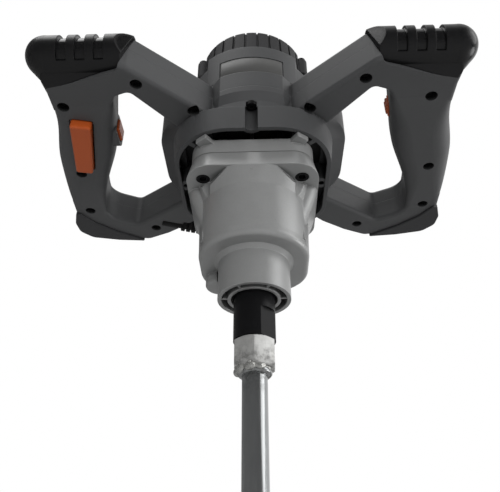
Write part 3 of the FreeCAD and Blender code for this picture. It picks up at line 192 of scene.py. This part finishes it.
# %% [markdown]
# ## Rounded edges by shading
#
# Real mouldings have a small radius on every edge, and that radius catches the light. Rounding
# thousands of edges in the mesh would be heavy, so the Bevel node rounds the normals instead:
# it looks at the faces within a small radius and blends their directions. The same node tells us
# where the edges are, because there the blended normal leaves the true one. That gives a mask for
# wear on edges, which on the casting also paints a highlight. Painted shade in wells and corners
# comes from the Ambient Occlusion node, which measures how much of a point's surroundings the
# piece itself covers.

# %% Helpers for edges and bumps
EDGE_SAMPLES, CORNER_SAMPLES = 6, 8


def soft_normal(place, radius_mm):
    return place.node("Bevel", {"samples": EDGE_SAMPLES}, {"Radius": radius_mm * MM})


def edge_mask(place, radius_mm, low=0.02, high=0.2):
    """1 along the edges of the piece and 0 on its faces."""
    normals = {0: soft_normal(place, radius_mm), 1: place.node("NewGeometry", output="True Normal")}
    same = place.node("VectorMath", {"operation": "DOT_PRODUCT"}, normals, "Value")
    return (1 - same).ramp(low, high)


def recess_shade_mask(place, reach_mm, low=0.25, high=0.75):
    """Painted shade: 1 deep inside the piece's own wells and corners, 0 where it lies open."""
    settings = {"samples": CORNER_SAMPLES, "only_local": True}
    open_share = place.node("AmbientOcclusion", settings, {"Distance": reach_mm * MM}, "AO")
    return 1 - open_share.ramp(low, high)


def bumped(place, height, depth_mm, round_mm):
    """Bumps of the given depth on a surface whose edges are rounded."""
    return place.node("Bump", inputs={"Height": height, "Distance": depth_mm * MM, "Strength": 1.0,
                                      "Normal": soft_normal(place, round_mm)})


print("rays per point for edges and corners:", EDGE_SAMPLES, CORNER_SAMPLES)

# %% [markdown]
# ## Moulded plastic
#
# The frame is glass-filled nylon in a dark grey. Its skin is spark-eroded: a fine, even grain that
# breaks up reflections. Two noises make it, a fine one for the grain and a broad one that shifts
# colour and gloss a little, as handling and uneven mould contact do. Edges that hands and floors
# rub are a shade lighter. The deep screw wells and the corners get painted shade, close to black,
# and the cap gets a band of painted shade along its lower edge, where it meets the tower. How
# strongly a plastic mirrors at right angles is the same all over, so it is set as one number on
# the shader.

# %% Plastic finishes
BLOTCH_MM, RUB_MM, RUB_EDGE_MM, MOULD_ROUND_MM = 26.0, 6.0, 0.7, 0.6
# Painted shade: screw wells and corners fade towards this near black.
WELL_REACH_MM, WELL_SHADE_SHARE, WELL_SHADE_TONE = 8.0, 0.92, grey(0.002)
# Painted shade: below the seam height the cap turns near black, as the shadow in its gap with the
# tower.
SEAM_BLUR_MM, SEAM_SHADE_TONE = 0.8, grey(0.003)
CAP_SEAM_SHADE_Z = 172.2


def moulded(name, colour, lighter, rough, mirror=0.3, grain_mm=0.45, depth_mm=0.03, edge=0.12,
            seam_shade_z=None):
    material, shader, place = finish(name)
    grain = noise(place, grain_mm, detail=3.0, rough=0.65)
    broad = noise(place, BLOTCH_MM, detail=3.0, rough=0.55)
    wear = edge_mask(place, RUB_EDGE_MM) * noise(place, RUB_MM).ramp(0.35, 0.7)
    tone = (broad * 0.7 + grain * 0.3).mix(colour, lighter)
    # Painted shade along a seam: the colour goes nearly black below the given height.
    if seam_shade_z is not None:
        below = 1 - millimetres(place, "Z").ramp(seam_shade_z, seam_shade_z + SEAM_BLUR_MM)
        tone = below.mix(tone, SEAM_SHADE_TONE)
    # Painted shade: the piece's wells and corners are darkened towards near black.
    tone = (recess_shade_mask(place, WELL_REACH_MM) * WELL_SHADE_SHARE).mix(tone, WELL_SHADE_TONE)
    connect(shader,
            Base_Color=(wear * edge).mix(tone, brighter(lighter, 2.0)),
            Roughness=rough + broad.swing(0.14) + grain.swing(0.1),
            Normal=bumped(place, grain, depth_mm, MOULD_ROUND_MM),
            Specular_IOR_Level=mirror)
    return material


frame_plastic = moulded("frame_plastic", (0.048, 0.049, 0.050, 1), (0.063, 0.064, 0.066, 1), 0.48)
# The cap carries a band of painted shade at its foot.
cap_plastic = moulded("cap_plastic", (0.027, 0.027, 0.028, 1), (0.037, 0.037, 0.038, 1), 0.5,
                      mirror=0.08, seam_shade_z=CAP_SEAM_SHADE_Z)
switch_plastic = moulded("switch_plastic", grey(0.008), grey(0.013), 0.5, mirror=0.2)
orange_plastic = moulded("orange_plastic", (0.36, 0.064, 0.012, 1), (0.43, 0.084, 0.017, 1), 0.4,
                         grain_mm=0.8, depth_mm=0.02)
plate_film = moulded("plate_film", (0.058, 0.058, 0.057, 1), (0.072, 0.072, 0.070, 1), 0.42,
                     mirror=0.25, grain_mm=0.25, depth_mm=0.01, edge=0.3)
print("plastics made, the frame's with", len(frame_plastic.node_tree.nodes), "nodes")

# %% [markdown]
# ## Rubber
#
# The bumpers, pads and cord inlet are rubber: nearly black, with a broad sheen. On the bumpers the
# three grooves were polished in the mould and reflect more than the rest. A groove is where the
# surface comes closer to the axis of the bumper's round bar, so the distance from that axis makes
# the mask, and the left and right bumpers can share it.

# %% Rubber finishes
BAR_Y, BAR_Z, BAR_RADIUS = -75.0, 126.0, 12.4
GROOVE_DEEP, GROOVE_SHALLOW, GROOVE_POLISH = 1.6, 0.6, 0.22
RUBBER_GRAIN_MM, RUBBER_BLOTCH_MM, RUBBER_DEPTH_MM, RUBBER_ROUND_MM = 0.8, 14.0, 0.025, 0.8


def groove_mask(place):
    """1 at the bottom of the bumper's grooves, 0 on its outside."""
    across, upward = millimetres(place, "Y") - BAR_Y, millimetres(place, "Z") - BAR_Z
    away = (across * across + upward * upward).math("SQRT")
    return 1 - away.ramp(BAR_RADIUS - GROOVE_DEEP, BAR_RADIUS - GROOVE_SHALLOW)


def rubber(name, colour, bloom, rough, mirror=0.25, polished=False):
    material, shader, place = finish(name)
    grain = noise(place, RUBBER_GRAIN_MM, rough=0.6)
    broad = noise(place, RUBBER_BLOTCH_MM, detail=3.0, rough=0.6)
    gloss = rough + broad.swing(0.14) + grain.swing(0.06)
    if polished:
        gloss = gloss - groove_mask(place) * GROOVE_POLISH
    connect(shader,
            Base_Color=(broad * 0.8 + grain * 0.2).mix(colour, bloom),
            Roughness=gloss,
            Normal=bumped(place, grain, RUBBER_DEPTH_MM, RUBBER_ROUND_MM),
            Specular_IOR_Level=mirror)
    return material


bumper_rubber = rubber("bumper_rubber", (0.003, 0.003, 0.0033, 1), (0.006, 0.006, 0.0064, 1), 0.38,
                       mirror=0.24, polished=True)
pad_rubber = rubber("pad_rubber", (0.020, 0.020, 0.021, 1), (0.030, 0.030, 0.032, 1), 0.44)
gland_rubber = rubber("gland_rubber", grey(0.003), grey(0.006), 0.46, mirror=0.1)
carbon = rubber("carbon", grey(0.012), grey(0.02), 0.6)
print("rubbers made, the bumpers' with", len(bumper_rubber.node_tree.nodes), "nodes")

# %% [markdown]
# ## Painted casting
#
# The gear housing is an aluminium die casting under silver-grey paint. The paint hides the metal
# but keeps the casting's slight waviness, and tiny flakes in it glint. It wears thin along edges,
# which are also painted lighter as a highlight, and its wells and corners get painted shade. Dust
# settles in the joint with the plate above it, which is a thin dark line at one height.
# Waves and skin are noise, the flakes are the cells of a Voronoi pattern, each with its own tone.

# %% Casting finish
JOINT_Z, JOINT_HALF_MM, JOINT_BLUR_MM = 81.0, 0.1, 0.5
FLAKE_MM, WAVE_MM, SKIN_MM, CHIP_MM = 0.3, 9.0, 0.9, 7.0
CAST_EDGE_MM, CAST_ROUND_MM, CAST_DEPTH_MM, CAST_REACH_MM = 0.8, 0.9, 0.08, 6.0
CAST_RECESS_SHADE, JOINT_DIRT = grey(0.03), grey(0.02)


def painted_casting(name, colour, lighter):
    material, shader, place = finish(name)
    cells = {"Vector": place, "Scale": 1 / (FLAKE_MM * MM)}
    flakes = place.node("TexVoronoi", inputs=cells, output="Color")
    flake = place.node("SeparateColor", inputs={"Color": flakes})
    waves = noise(place, WAVE_MM, detail=3.0, rough=0.6)
    skin = noise(place, SKIN_MM, detail=3.0, rough=0.6)
    # Worn paint on the edges, brightened enough to paint a highlight there as well.
    worn_and_highlit = edge_mask(place, CAST_EDGE_MM) * noise(place, CHIP_MM).ramp(0.3, 0.7)
    from_joint = (millimetres(place, "Z") - JOINT_Z).math("ABSOLUTE")
    joint = 1 - from_joint.ramp(JOINT_HALF_MM, JOINT_BLUR_MM)
    paint = (waves * 0.6 + flake * 0.4).mix(colour, lighter)
    # Painted shade: the casting's wells and corners darken.
    paint = (recess_shade_mask(place, CAST_REACH_MM) * 0.7).mix(paint, CAST_RECESS_SHADE)
    paint = (worn_and_highlit * 0.8).mix(paint, brighter(lighter, 1.9))
    connect(shader,
            Base_Color=(joint * 0.75).mix(paint, JOINT_DIRT),
            Metallic=0.35,
            Roughness=0.36 + waves.swing(0.14) + flake.swing(0.12),
            Normal=bumped(place, waves * 0.8 + skin * 0.2, CAST_DEPTH_MM, CAST_ROUND_MM),
            Specular_IOR_Level=0.35)
    return material


cast_aluminium = painted_casting("cast_aluminium", (0.235, 0.238, 0.236, 1), (0.29, 0.293, 0.292, 1))
print("casting finish made with", len(cast_aluminium.node_tree.nodes), "nodes")

# %% [markdown]
# ## Bare and plated steel
#
# The spindle is black oxide, the stirrer is zinc plated. Both are metal, so their colour is in the
# reflection. Drawn bar has faint lines along its length, which are noise stretched along Z. Welding
# burnt the zinc round the foot of the hexagon, so the plated steel darkens there in smudges.

# %% Steel recipe
LINE_MM, CLOUD_MM, LINE_DEPTH_MM, STEEL_ROUND_MM = 0.5, 12.0, 0.02, 0.4
LINE_STRETCH = (1.0, 1.0, 0.04)
SMUDGE_MM, BURNT_NEAR_MM, BURNT_FAR_MM, BURNT_TONE = 4.5, 3.0, 16.0, (0.09, 0.088, 0.085, 1)


def steel(name, colour, lighter, rough, streak=0.5, metallic=1.0, mirror=0.5, burnt_z=None):
    material, shader, place = finish(name)
    lined = place.node("VectorMath", {"operation": "MULTIPLY"}, {0: place, 1: LINE_STRETCH})
    lines = noise(lined, LINE_MM, rough=0.6)
    cloud = noise(place, CLOUD_MM, detail=4.0, rough=0.6)
    tone = (lines * streak + cloud * (1 - streak)).mix(colour, lighter)
    gloss = rough + cloud.swing(0.2) + lines.swing(0.14)
    if burnt_z is not None:
        from_weld = (millimetres(place, "Z") - burnt_z).math("ABSOLUTE")
        patches = noise(place, SMUDGE_MM, detail=4.0, rough=0.7).ramp(0.42, 0.62)
        smudge = (1 - from_weld.ramp(BURNT_NEAR_MM, BURNT_FAR_MM)) * patches
        tone = (smudge * 0.7).mix(tone, BURNT_TONE)
        gloss = gloss + smudge * 0.2
    connect(shader,
            Base_Color=tone,
            Metallic=metallic,
            Roughness=gloss,
            Normal=bumped(place, lines, LINE_DEPTH_MM, STEEL_ROUND_MM),
            Specular_IOR_Level=mirror)
    return material


print("lines along the bar are", round(1 / LINE_STRETCH[2]), "times as long as wide")

# %% [markdown]
# The stirrer's steels differ in how they were worked: the rod is smooth drawn bar, the blades are
# pressed sheet and duller, the hexagon and the weld are rough. Black oxide mirrors so little that a
# dark, slightly glossy coat looks truer than a dark metal. The inner metals show only when the
# tool is opened, and get the same recipe in their own colours.

# %% Steels, bronze and copper
BURNT_Z = -43.0
zinc_steel = steel("zinc_steel", (0.27, 0.28, 0.28, 1), (0.40, 0.41, 0.415, 1), 0.17, burnt_z=BURNT_Z)
blade_steel = steel("blade_steel", (0.30, 0.31, 0.31, 1), (0.44, 0.45, 0.455, 1), 0.34)
hex_steel = steel("hex_steel", (0.36, 0.36, 0.35, 1), (0.52, 0.52, 0.51, 1), 0.36,
                  streak=0.3, metallic=0.5, mirror=0.4, burnt_z=BURNT_Z)
weld_steel = steel("weld_steel", (0.26, 0.26, 0.25, 1), (0.46, 0.46, 0.44, 1), 0.26,
                   streak=0.1, metallic=0.7)
black_steel = steel("black_steel", (0.003, 0.003, 0.0034, 1), (0.007, 0.007, 0.0076, 1), 0.38,
                    metallic=0.0, mirror=0.13)
screw_steel = steel("screw_steel", (0.003, 0.003, 0.003, 1), (0.006, 0.006, 0.0065, 1), 0.34,
                    metallic=0.0, mirror=0.12)
gear_steel = steel("gear_steel", (0.34, 0.34, 0.35, 1), (0.46, 0.46, 0.47, 1), 0.34)
bearing_steel = steel("bearing_steel", (0.5, 0.5, 0.5, 1), (0.64, 0.64, 0.65, 1), 0.25)
core_steel = steel("core_steel", (0.2, 0.2, 0.21, 1), (0.3, 0.3, 0.31, 1), 0.45)
bronze = steel("bronze", (0.5, 0.33, 0.14, 1), (0.62, 0.43, 0.2, 1), 0.4)
copper = steel("copper", (0.55, 0.22, 0.1, 1), (0.7, 0.32, 0.16, 1), 0.38)
print("metals made, the rod's with", len(zinc_steel.node_tree.nodes), "nodes")

# %% [markdown]
# ## Dressing the pieces
#
# Each node keeps its own mesh and gets one of the finishes above. A table from finish to pieces is
# easier to check than a line per piece.

# %% Hand out the finishes
wardrobe = {
    frame_plastic: ["lower_shell", "upper_shell"],
    cap_plastic: ["motor_end_cap"],
    # The cooling fan and its baffle are made nearly black, partly to stand in for the deep shade
    # inside the skirt.
    switch_plastic: ["switch_body", "speed_module", "cooling_fan", "fan_baffle"],
    orange_plastic: ["trigger", "lock_button", "speed_dial"],
    bumper_rubber: ["right_bumper", "left_bumper"],
    pad_rubber: ["right_rear_pad", "left_rear_pad"],
    gland_rubber: ["cord_gland", "spindle_seal"],
    cast_aluminium: ["gear_housing", "gear_plate"],
    hex_steel: ["stirrer_hex"],
    zinc_steel: ["stirrer_rod"],
    blade_steel: ["stirrer_blades", "stirrer_hoop"],
    black_steel: ["spindle"],
    screw_steel: ["handle_screws", "cap_screws", "gearbox_screws"],
    gear_steel: ["layshaft", "layshaft_gear", "output_gear", "armature_shaft", "trigger_pin"],
    bearing_steel: ["spindle_low_bearing", "spindle_high_bearing", "armature_low_bearing",
                    "armature_high_bearing", "retaining_ring"],
    core_steel: ["armature_core", "field_core"],
    bronze: ["layshaft_low_bush", "layshaft_high_bush", "brush_holders"],
    copper: ["armature_windings", "field_coils", "commutator"],
    carbon: ["carbon_brushes"],
}
for material, names in wardrobe.items():
    for name in names:
        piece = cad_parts[name]
        piece.data.materials.clear()
        piece.data.materials.append(material)
print("nodes dressed:", sum(len(names) for names in wardrobe.values()))

# %% [markdown]
# ## Modelling by operators
#
# The pieces below are modelled the way one does it by hand. Operators act on whatever is selected,
# so `pick` chooses points of the piece in edit mode by a test on their place, and everything is
# deselected before a new piece is begun. Once a piece has its shape, its place is applied to its
# mesh, so that the object itself stays at the origin.

# %% Helpers for modelling
SMOOTH_BELOW = math.radians(35)


def pick(piece, test):
    """In edit mode, select the points of the piece that pass the test."""
    bpy.ops.mesh.select_mode(type="VERT")
    bpy.ops.mesh.select_all(action="DESELECT")
    bpy.ops.object.mode_set(mode="OBJECT")
    count = 0
    for point in piece.data.vertices:
        point.select = bool(test(point.co))
        count += point.select
    bpy.ops.object.mode_set(mode="EDIT")
    return count


def begun(name):
    """The piece that was just added, under its name and with its place in its mesh."""
    made = bpy.context.object
    made.name = name
    bpy.ops.object.transform_apply(location=True, rotation=True, scale=True)
    return made


def bar(name, sides, radius, low, high, ends="NGON"):
    """An upright prism round the spindle's axis, between two heights in millimetres."""
    bpy.ops.object.select_all(action="DESELECT")
    bpy.ops.mesh.primitive_cylinder_add(vertices=sides, radius=radius * MM, depth=(high - low) * MM,
                                        location=(0, 0, (low + high) / 2 * MM), end_fill_type=ends)
    return begun(name)


def choose(piece):
    bpy.ops.object.select_all(action="DESELECT")
    piece.select_set(True)
    bpy.context.view_layer.objects.active = piece


def apply_modifier(piece, kind, **settings):
    modifier = piece.modifiers.new(kind.lower(), kind)
    for name, value in settings.items():
        setattr(modifier, name, value)
    bpy.ops.object.modifier_apply(modifier=modifier.name)


def carve(piece, operation, tool):
    """Join or meet the piece with a tool, which is then thrown away."""
    choose(piece)
    apply_modifier(piece, "BOOLEAN", operation=operation, object=tool, solver="EXACT")
    bpy.data.objects.remove(tool)


def dress(piece, material, body):
    """Smooth the piece, give it its finish and let it ride on its body."""
    bpy.ops.object.shade_smooth_by_angle(angle=SMOOTH_BELOW)
    piece.data.materials.append(material)
    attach(piece, body)
    print(piece.name, "has", len(piece.data.polygons), "faces")


# %% [markdown]
# ## The bare plate on the motor housing
#
# Above the tongue the housing has a shallow round recess that holds a thin plain plate. A flat sheet
# could be bent to the recess, but the plate follows the round of the housing exactly if it starts as
# an open cylinder. That is cut down with bisect to the piece inside the recess, gets its corners
# rounded and then a thickness.

# %% Bare plate
PLATE_RADIUS, PLATE_THICK, PLATE_SIDES = 46.25, 0.3, 240
PLATE_HALF, PLATE_LOW, PLATE_HIGH = 20.4, 141.6, 156.0
PLATE_CORNER, PLATE_EDGE, NEAR_END = 1.2, 0.08, 0.01

bare_plate = bar("bare_plate", PLATE_SIDES, PLATE_RADIUS, PLATE_LOW, PLATE_HIGH, ends="NOTHING")
bpy.ops.object.mode_set(mode="EDIT")
for way, reach in (((1, 0, 0), PLATE_HALF), ((-1, 0, 0), PLATE_HALF), ((0, 1, 0), 0)):
    bpy.ops.mesh.select_all(action="SELECT")
    bpy.ops.mesh.bisect(plane_co=Vector(way) * reach * MM, plane_no=way, clear_outer=True)
corners = pick(bare_plate, lambda p: abs(p.x) > (PLATE_HALF - NEAR_END) * MM)
bpy.ops.mesh.bevel(offset=PLATE_CORNER * MM, segments=5, affect="VERTICES")
print("plate corners rounded:", corners)
bpy.ops.object.mode_set(mode="OBJECT")
apply_modifier(bare_plate, "SOLIDIFY", thickness=PLATE_THICK * MM, offset=-1.0)
apply_modifier(bare_plate, "BEVEL", width=PLATE_EDGE * MM, segments=2, limit_method="ANGLE")
dress(bare_plate, plate_film, "housing")

# %% [markdown]
# ## Bumper noses
#
# On the real bumper the rubber flows from the round end of the bar back to the grip in one straight
# sweep, with no waist between the two. The shape that does this is the hull of a ball at the bar's
# end and a slim upright post at the grip's corner, as if a skin were pulled tight over both. Edit
# mode has that as one operator. The left nose is a mirrored copy with its own mesh, and since a
# mirror turns faces inside out, its normals are worked out again.

# %% Bumper noses
BALL_CENTRE, BALL_RADIUS = Vector((121.0, BAR_Y, BAR_Z)), BAR_RADIUS + 0.1
POST_CENTRE, POST_RADIUS, POST_HEIGHT, POST_ROUND = Vector((120.6, -61.9, 126.0)), 3.6, 21.0, 1.5

bpy.ops.object.select_all(action="DESELECT")
bpy.ops.mesh.primitive_uv_sphere_add(segments=72, ring_count=36, radius=BALL_RADIUS * MM,
                                     location=BALL_CENTRE * MM)
right_nose = begun("right_bumper_nose")
bpy.ops.object.mode_set(mode="EDIT")
bpy.ops.mesh.primitive_cylinder_add(vertices=32, radius=POST_RADIUS * MM, depth=POST_HEIGHT * MM,
                                    location=POST_CENTRE * MM)
bpy.ops.mesh.bevel(offset=POST_ROUND * MM, segments=4, affect="EDGES")
bpy.ops.mesh.select_all(action="SELECT")
bpy.ops.mesh.convex_hull()
bpy.ops.object.mode_set(mode="OBJECT")

bpy.ops.object.duplicate()
bpy.context.object.scale.x = -1
left_nose = begun("left_bumper_nose")
bpy.ops.object.mode_set(mode="EDIT")
bpy.ops.mesh.select_all(action="SELECT")
bpy.ops.mesh.normals_make_consistent(inside=False)
bpy.ops.object.mode_set(mode="OBJECT")
for nose in (left_nose, right_nose):
    choose(nose)
    dress(nose, bumper_rubber, "housing")

# %% [markdown]
# ## The stirrer's hexagon
#
# The hexagon is cut from drawn bar and turned at both ends, so its six corners end in arcs and the
# round end of the spindle covers its top. A bevel on the edges of a prism would not give those
# arcs. The way a lathe does it is to let the prism meet a drum with coned ends: the drum is a
# cylinder whose end faces are extruded and scaled, and a Boolean keeps what both share. The stud
# that screws into the spindle is joined on in the same way.

# %% Chamfered hexagon
HEX_ACROSS, HEX_LOW, HEX_HIGH, HEX_EDGE = 22.0, -42.6, -26.2, 0.18
HEX_CORNER = HEX_ACROSS / 2 / math.cos(math.radians(30))
CONE_RADIUS, CONE_HEIGHT, DRUM_RADIUS = 10.6, 1.3, HEX_CORNER + 0.02
STUD_RADIUS, STUD_TOP = 6.95, -2.0
SAME_HEIGHT, SHARP_ABOVE = 1e-6, math.radians(25)

drum_low, drum_high = HEX_LOW + CONE_HEIGHT, HEX_HIGH - CONE_HEIGHT
drum = bar("drum", 120, DRUM_RADIUS, drum_low, drum_high)
bpy.ops.object.mode_set(mode="EDIT")
share = CONE_RADIUS / DRUM_RADIUS
for end, way in ((drum_low, -1), (drum_high, 1)):
    pick(drum, lambda p: abs(p.z - end * MM) < SAME_HEIGHT)
    outward = {"value": (0, 0, way * CONE_HEIGHT * MM)}
    bpy.ops.mesh.extrude_region_move(TRANSFORM_OT_translate=outward)
    bpy.ops.transform.resize(value=(share, share, 1))
bpy.ops.object.mode_set(mode="OBJECT")

hexagon = bar("turned_hexagon", 6, HEX_CORNER, HEX_LOW, HEX_HIGH)
carve(hexagon, "INTERSECT", drum)
carve(hexagon, "UNION", bar("stud", 48, STUD_RADIUS, drum_low, STUD_TOP))
apply_modifier(hexagon, "BEVEL", width=HEX_EDGE * MM, segments=2, limit_method="ANGLE",
               angle_limit=SHARP_ABOVE)
dress(hexagon, hex_steel, "spindle_set")
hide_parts("stirrer_hex")

# %% [markdown]
# ## Weld on the stirrer
#
# The rod is welded to the foot of the hexagon by hand, mostly from one side, and the bead is lumpy.
# It starts as a torus round the rod, pushed about at random, always with the same seed. The ripples
# that the welder laid at the left front are a row of spheres that overlap and waver. A voxel remesh
# melts torus and spheres into one skin, and a few smoothing steps round it off.

# %% Weld bead
BEAD_Z, BEAD_RADIUS, BEAD_THICK, BEAD_LUMPS = -43.2, 8.1, 1.7, 0.6
RIPPLES, RIPPLE_START, RIPPLE_STEP = 15, -112, 10
AWAY, AWAY_WAVER, AWAY_RATE = 8.9, 0.6, 2.1
RIPPLE_Z, Z_WAVER, Z_RATE = -43.0, 0.8, 1.7
RIPPLE_RADIUS, RADIUS_WAVER, RADIUS_RATE = 2.3, 0.5, 1.3
VOXEL = 0.36

bpy.ops.object.select_all(action="DESELECT")
bpy.ops.mesh.primitive_torus_add(major_radius=BEAD_RADIUS * MM, minor_radius=BEAD_THICK * MM,
                                 major_segments=22, minor_segments=8, location=(0, 0, BEAD_Z * MM))
weld_bead = begun("weld_bead")
bpy.ops.object.mode_set(mode="EDIT")
bpy.ops.mesh.select_all(action="SELECT")
bpy.ops.transform.vertex_random(offset=BEAD_LUMPS * MM, uniform=0.35, normal=0.6, seed=7)
for i in range(RIPPLES):
    angle = math.radians(RIPPLE_START + RIPPLE_STEP * i)
    away = AWAY + AWAY_WAVER * math.sin(AWAY_RATE * i)
    height = RIPPLE_Z + Z_WAVER * math.cos(Z_RATE * i)
    radius = RIPPLE_RADIUS + RADIUS_WAVER * math.sin(RADIUS_RATE * i + 1)
    spot = Vector((away * math.sin(angle), -away * math.cos(angle), height)) * MM
    bpy.ops.mesh.primitive_uv_sphere_add(segments=16, ring_count=10, location=spot, radius=radius * MM)
bpy.ops.object.mode_set(mode="OBJECT")
apply_modifier(weld_bead, "REMESH", mode="VOXEL", voxel_size=VOXEL * MM)
apply_modifier(weld_bead, "SMOOTH", factor=0.5, iterations=8)
dress(weld_bead, weld_steel, "spindle_set")

# %% [markdown]
# ## Floor and white background
#
# The drill stands on its stirrer on a pale floor. The photograph has a white background, and the
# pale surface below the tool throws light back up into its underside. The world is white for what
# the camera, mirrors and glass see, and what it sheds on the drill is weaker, so that the
# background can be white without bleaching the tool.

# %% Floor and world
FLOOR_SIZE, FLOOR_BLOTCH_MM, SHED = 40.0, 400.0, 0.33

floor_z = cad_box[0][2]
bpy.ops.object.select_all(action="DESELECT")
bpy.ops.mesh.primitive_plane_add(size=FLOOR_SIZE, location=(0, 0, floor_z))
floor = bpy.context.object
floor.name = "floor"
pale, pale_shader, pale_place = finish("pale_floor")
pale_tone = noise(pale_place, FLOOR_BLOTCH_MM).mix(grey(0.84), grey(0.87))
connect(pale_shader, Base_Color=pale_tone, Roughness=0.6)
floor.data.materials.append(pale)
floor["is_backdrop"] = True

world = bpy.data.worlds.new("studio")
bpy.context.scene.world = world
world.use_nodes = True
sky = Field(world.node_tree)
seen, mirrored, through = (sky.node("LightPath", output=f"Is {kind} Ray")
                           for kind in ("Camera", "Glossy", "Transmission"))
shown = sky.math("MAXIMUM", seen, sky.math("MAXIMUM", mirrored, through))
background = world.node_tree.nodes["Background"]
background.inputs["Color"].default_value = grey(1.0)
sky.feed(background.inputs["Strength"], shown * (1 - SHED) + SHED)
print("floor at", round(floor_z / MM, 1), "mm")

# %% [markdown]
# ## Lamps and grey cloth
#
# Four round soft lamps light the tool: the key from the upper right, a weaker one from the front, a
# faint one from low on the right and one from above on the left. The lower ones spread less, so
# that they light the tool and not the floor. Photographers hang grey cloth where shiny metal would
# otherwise mirror nothing but white: here it hangs in a wide arc in front and on the left, and only
# reflections see it. It is open on the right, which is what draws the bright strip down the rod.
# The front lamp stays out of reflections for the same reason: it would draw a second strip.

# %% Lamps
WIDE, NARROW = math.radians(180), math.radians(90)


def lamp(name, place, target, size, power, spread):
    light = bpy.data.lights.new(name, "AREA")
    light.shape, light.size, light.energy, light.spread = "DISK", size, power, spread
    made = bpy.data.objects.new(name, light)
    made.location = place
    made.rotation_euler = (Vector(target) - Vector(place)).to_track_quat("-Z", "Y").to_euler()
    bpy.context.scene.collection.objects.link(made)
    return made


lamps = [lamp("key", (1.55, -0.5, 0.75), (0, 0, 0.05), 1.3, 8, WIDE),
         lamp("front", (0.5, -1.7, 0.05), (0, 0, 0.08), 1.2, 5.8, NARROW),
         lamp("low_right", (1.4, 0.2, -0.2), (0.1, 0, 0.1), 0.7, 1.3, NARROW),
         lamp("top", (-0.45, -0.35, 1.55), (0, 0, 0.12), 1.0, 7, WIDE)]
lamps[1].visible_glossy = False
print("lamps:", [made.name for made in lamps])

# %% [markdown]
# The cloth starts as an open cylinder round the tool, and the points inside the opening are
# deleted. Ray visibility then hides it from everything but reflections.

# %% Grey cloth
FLAG_FROM, FLAG_TO = 72, 170
FLAG_RADIUS, FLAG_LOW, FLAG_HIGH, CLOTH_BLOTCH_MM = 2.2, -0.1, 3.7, 60.0

flag = bar("flag", 72, FLAG_RADIUS / MM, FLAG_LOW / MM, FLAG_HIGH / MM, ends="NOTHING")
bpy.ops.object.mode_set(mode="EDIT")
opened = pick(flag, lambda p: FLAG_FROM < math.degrees(math.atan2(p.x, -p.y)) < FLAG_TO)
bpy.ops.mesh.delete(type="VERT")
bpy.ops.object.mode_set(mode="OBJECT")
cloth, cloth_shader, cloth_place = finish("flag_cloth")
cloth_tone = noise(cloth_place, CLOTH_BLOTCH_MM).mix(grey(0.42), grey(0.5))
connect(cloth_shader, Base_Color=cloth_tone, Roughness=1.0, Specular_IOR_Level=0.0)
flag.data.materials.append(cloth)
flag.visible_camera = flag.visible_diffuse = flag.visible_shadow = False
flag.visible_transmission = False
flag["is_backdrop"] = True
bpy.context.scene.view_settings.view_transform = "Standard"
print("points taken out for the opening:", opened)

# %% [markdown]
# ## Proof of size
#
# The box of the dressed drill must stay the box of the engineering model. Both boxes are kept, and
# the largest difference is printed.

# %% Compare the boxes and finish
dressed_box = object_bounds()
apart = max(abs(a - b) for one, two in zip(cad_box, dressed_box) for a, b in zip(one, two))
print("boxes written, at most", round(apart / MM, 2), "mm apart")
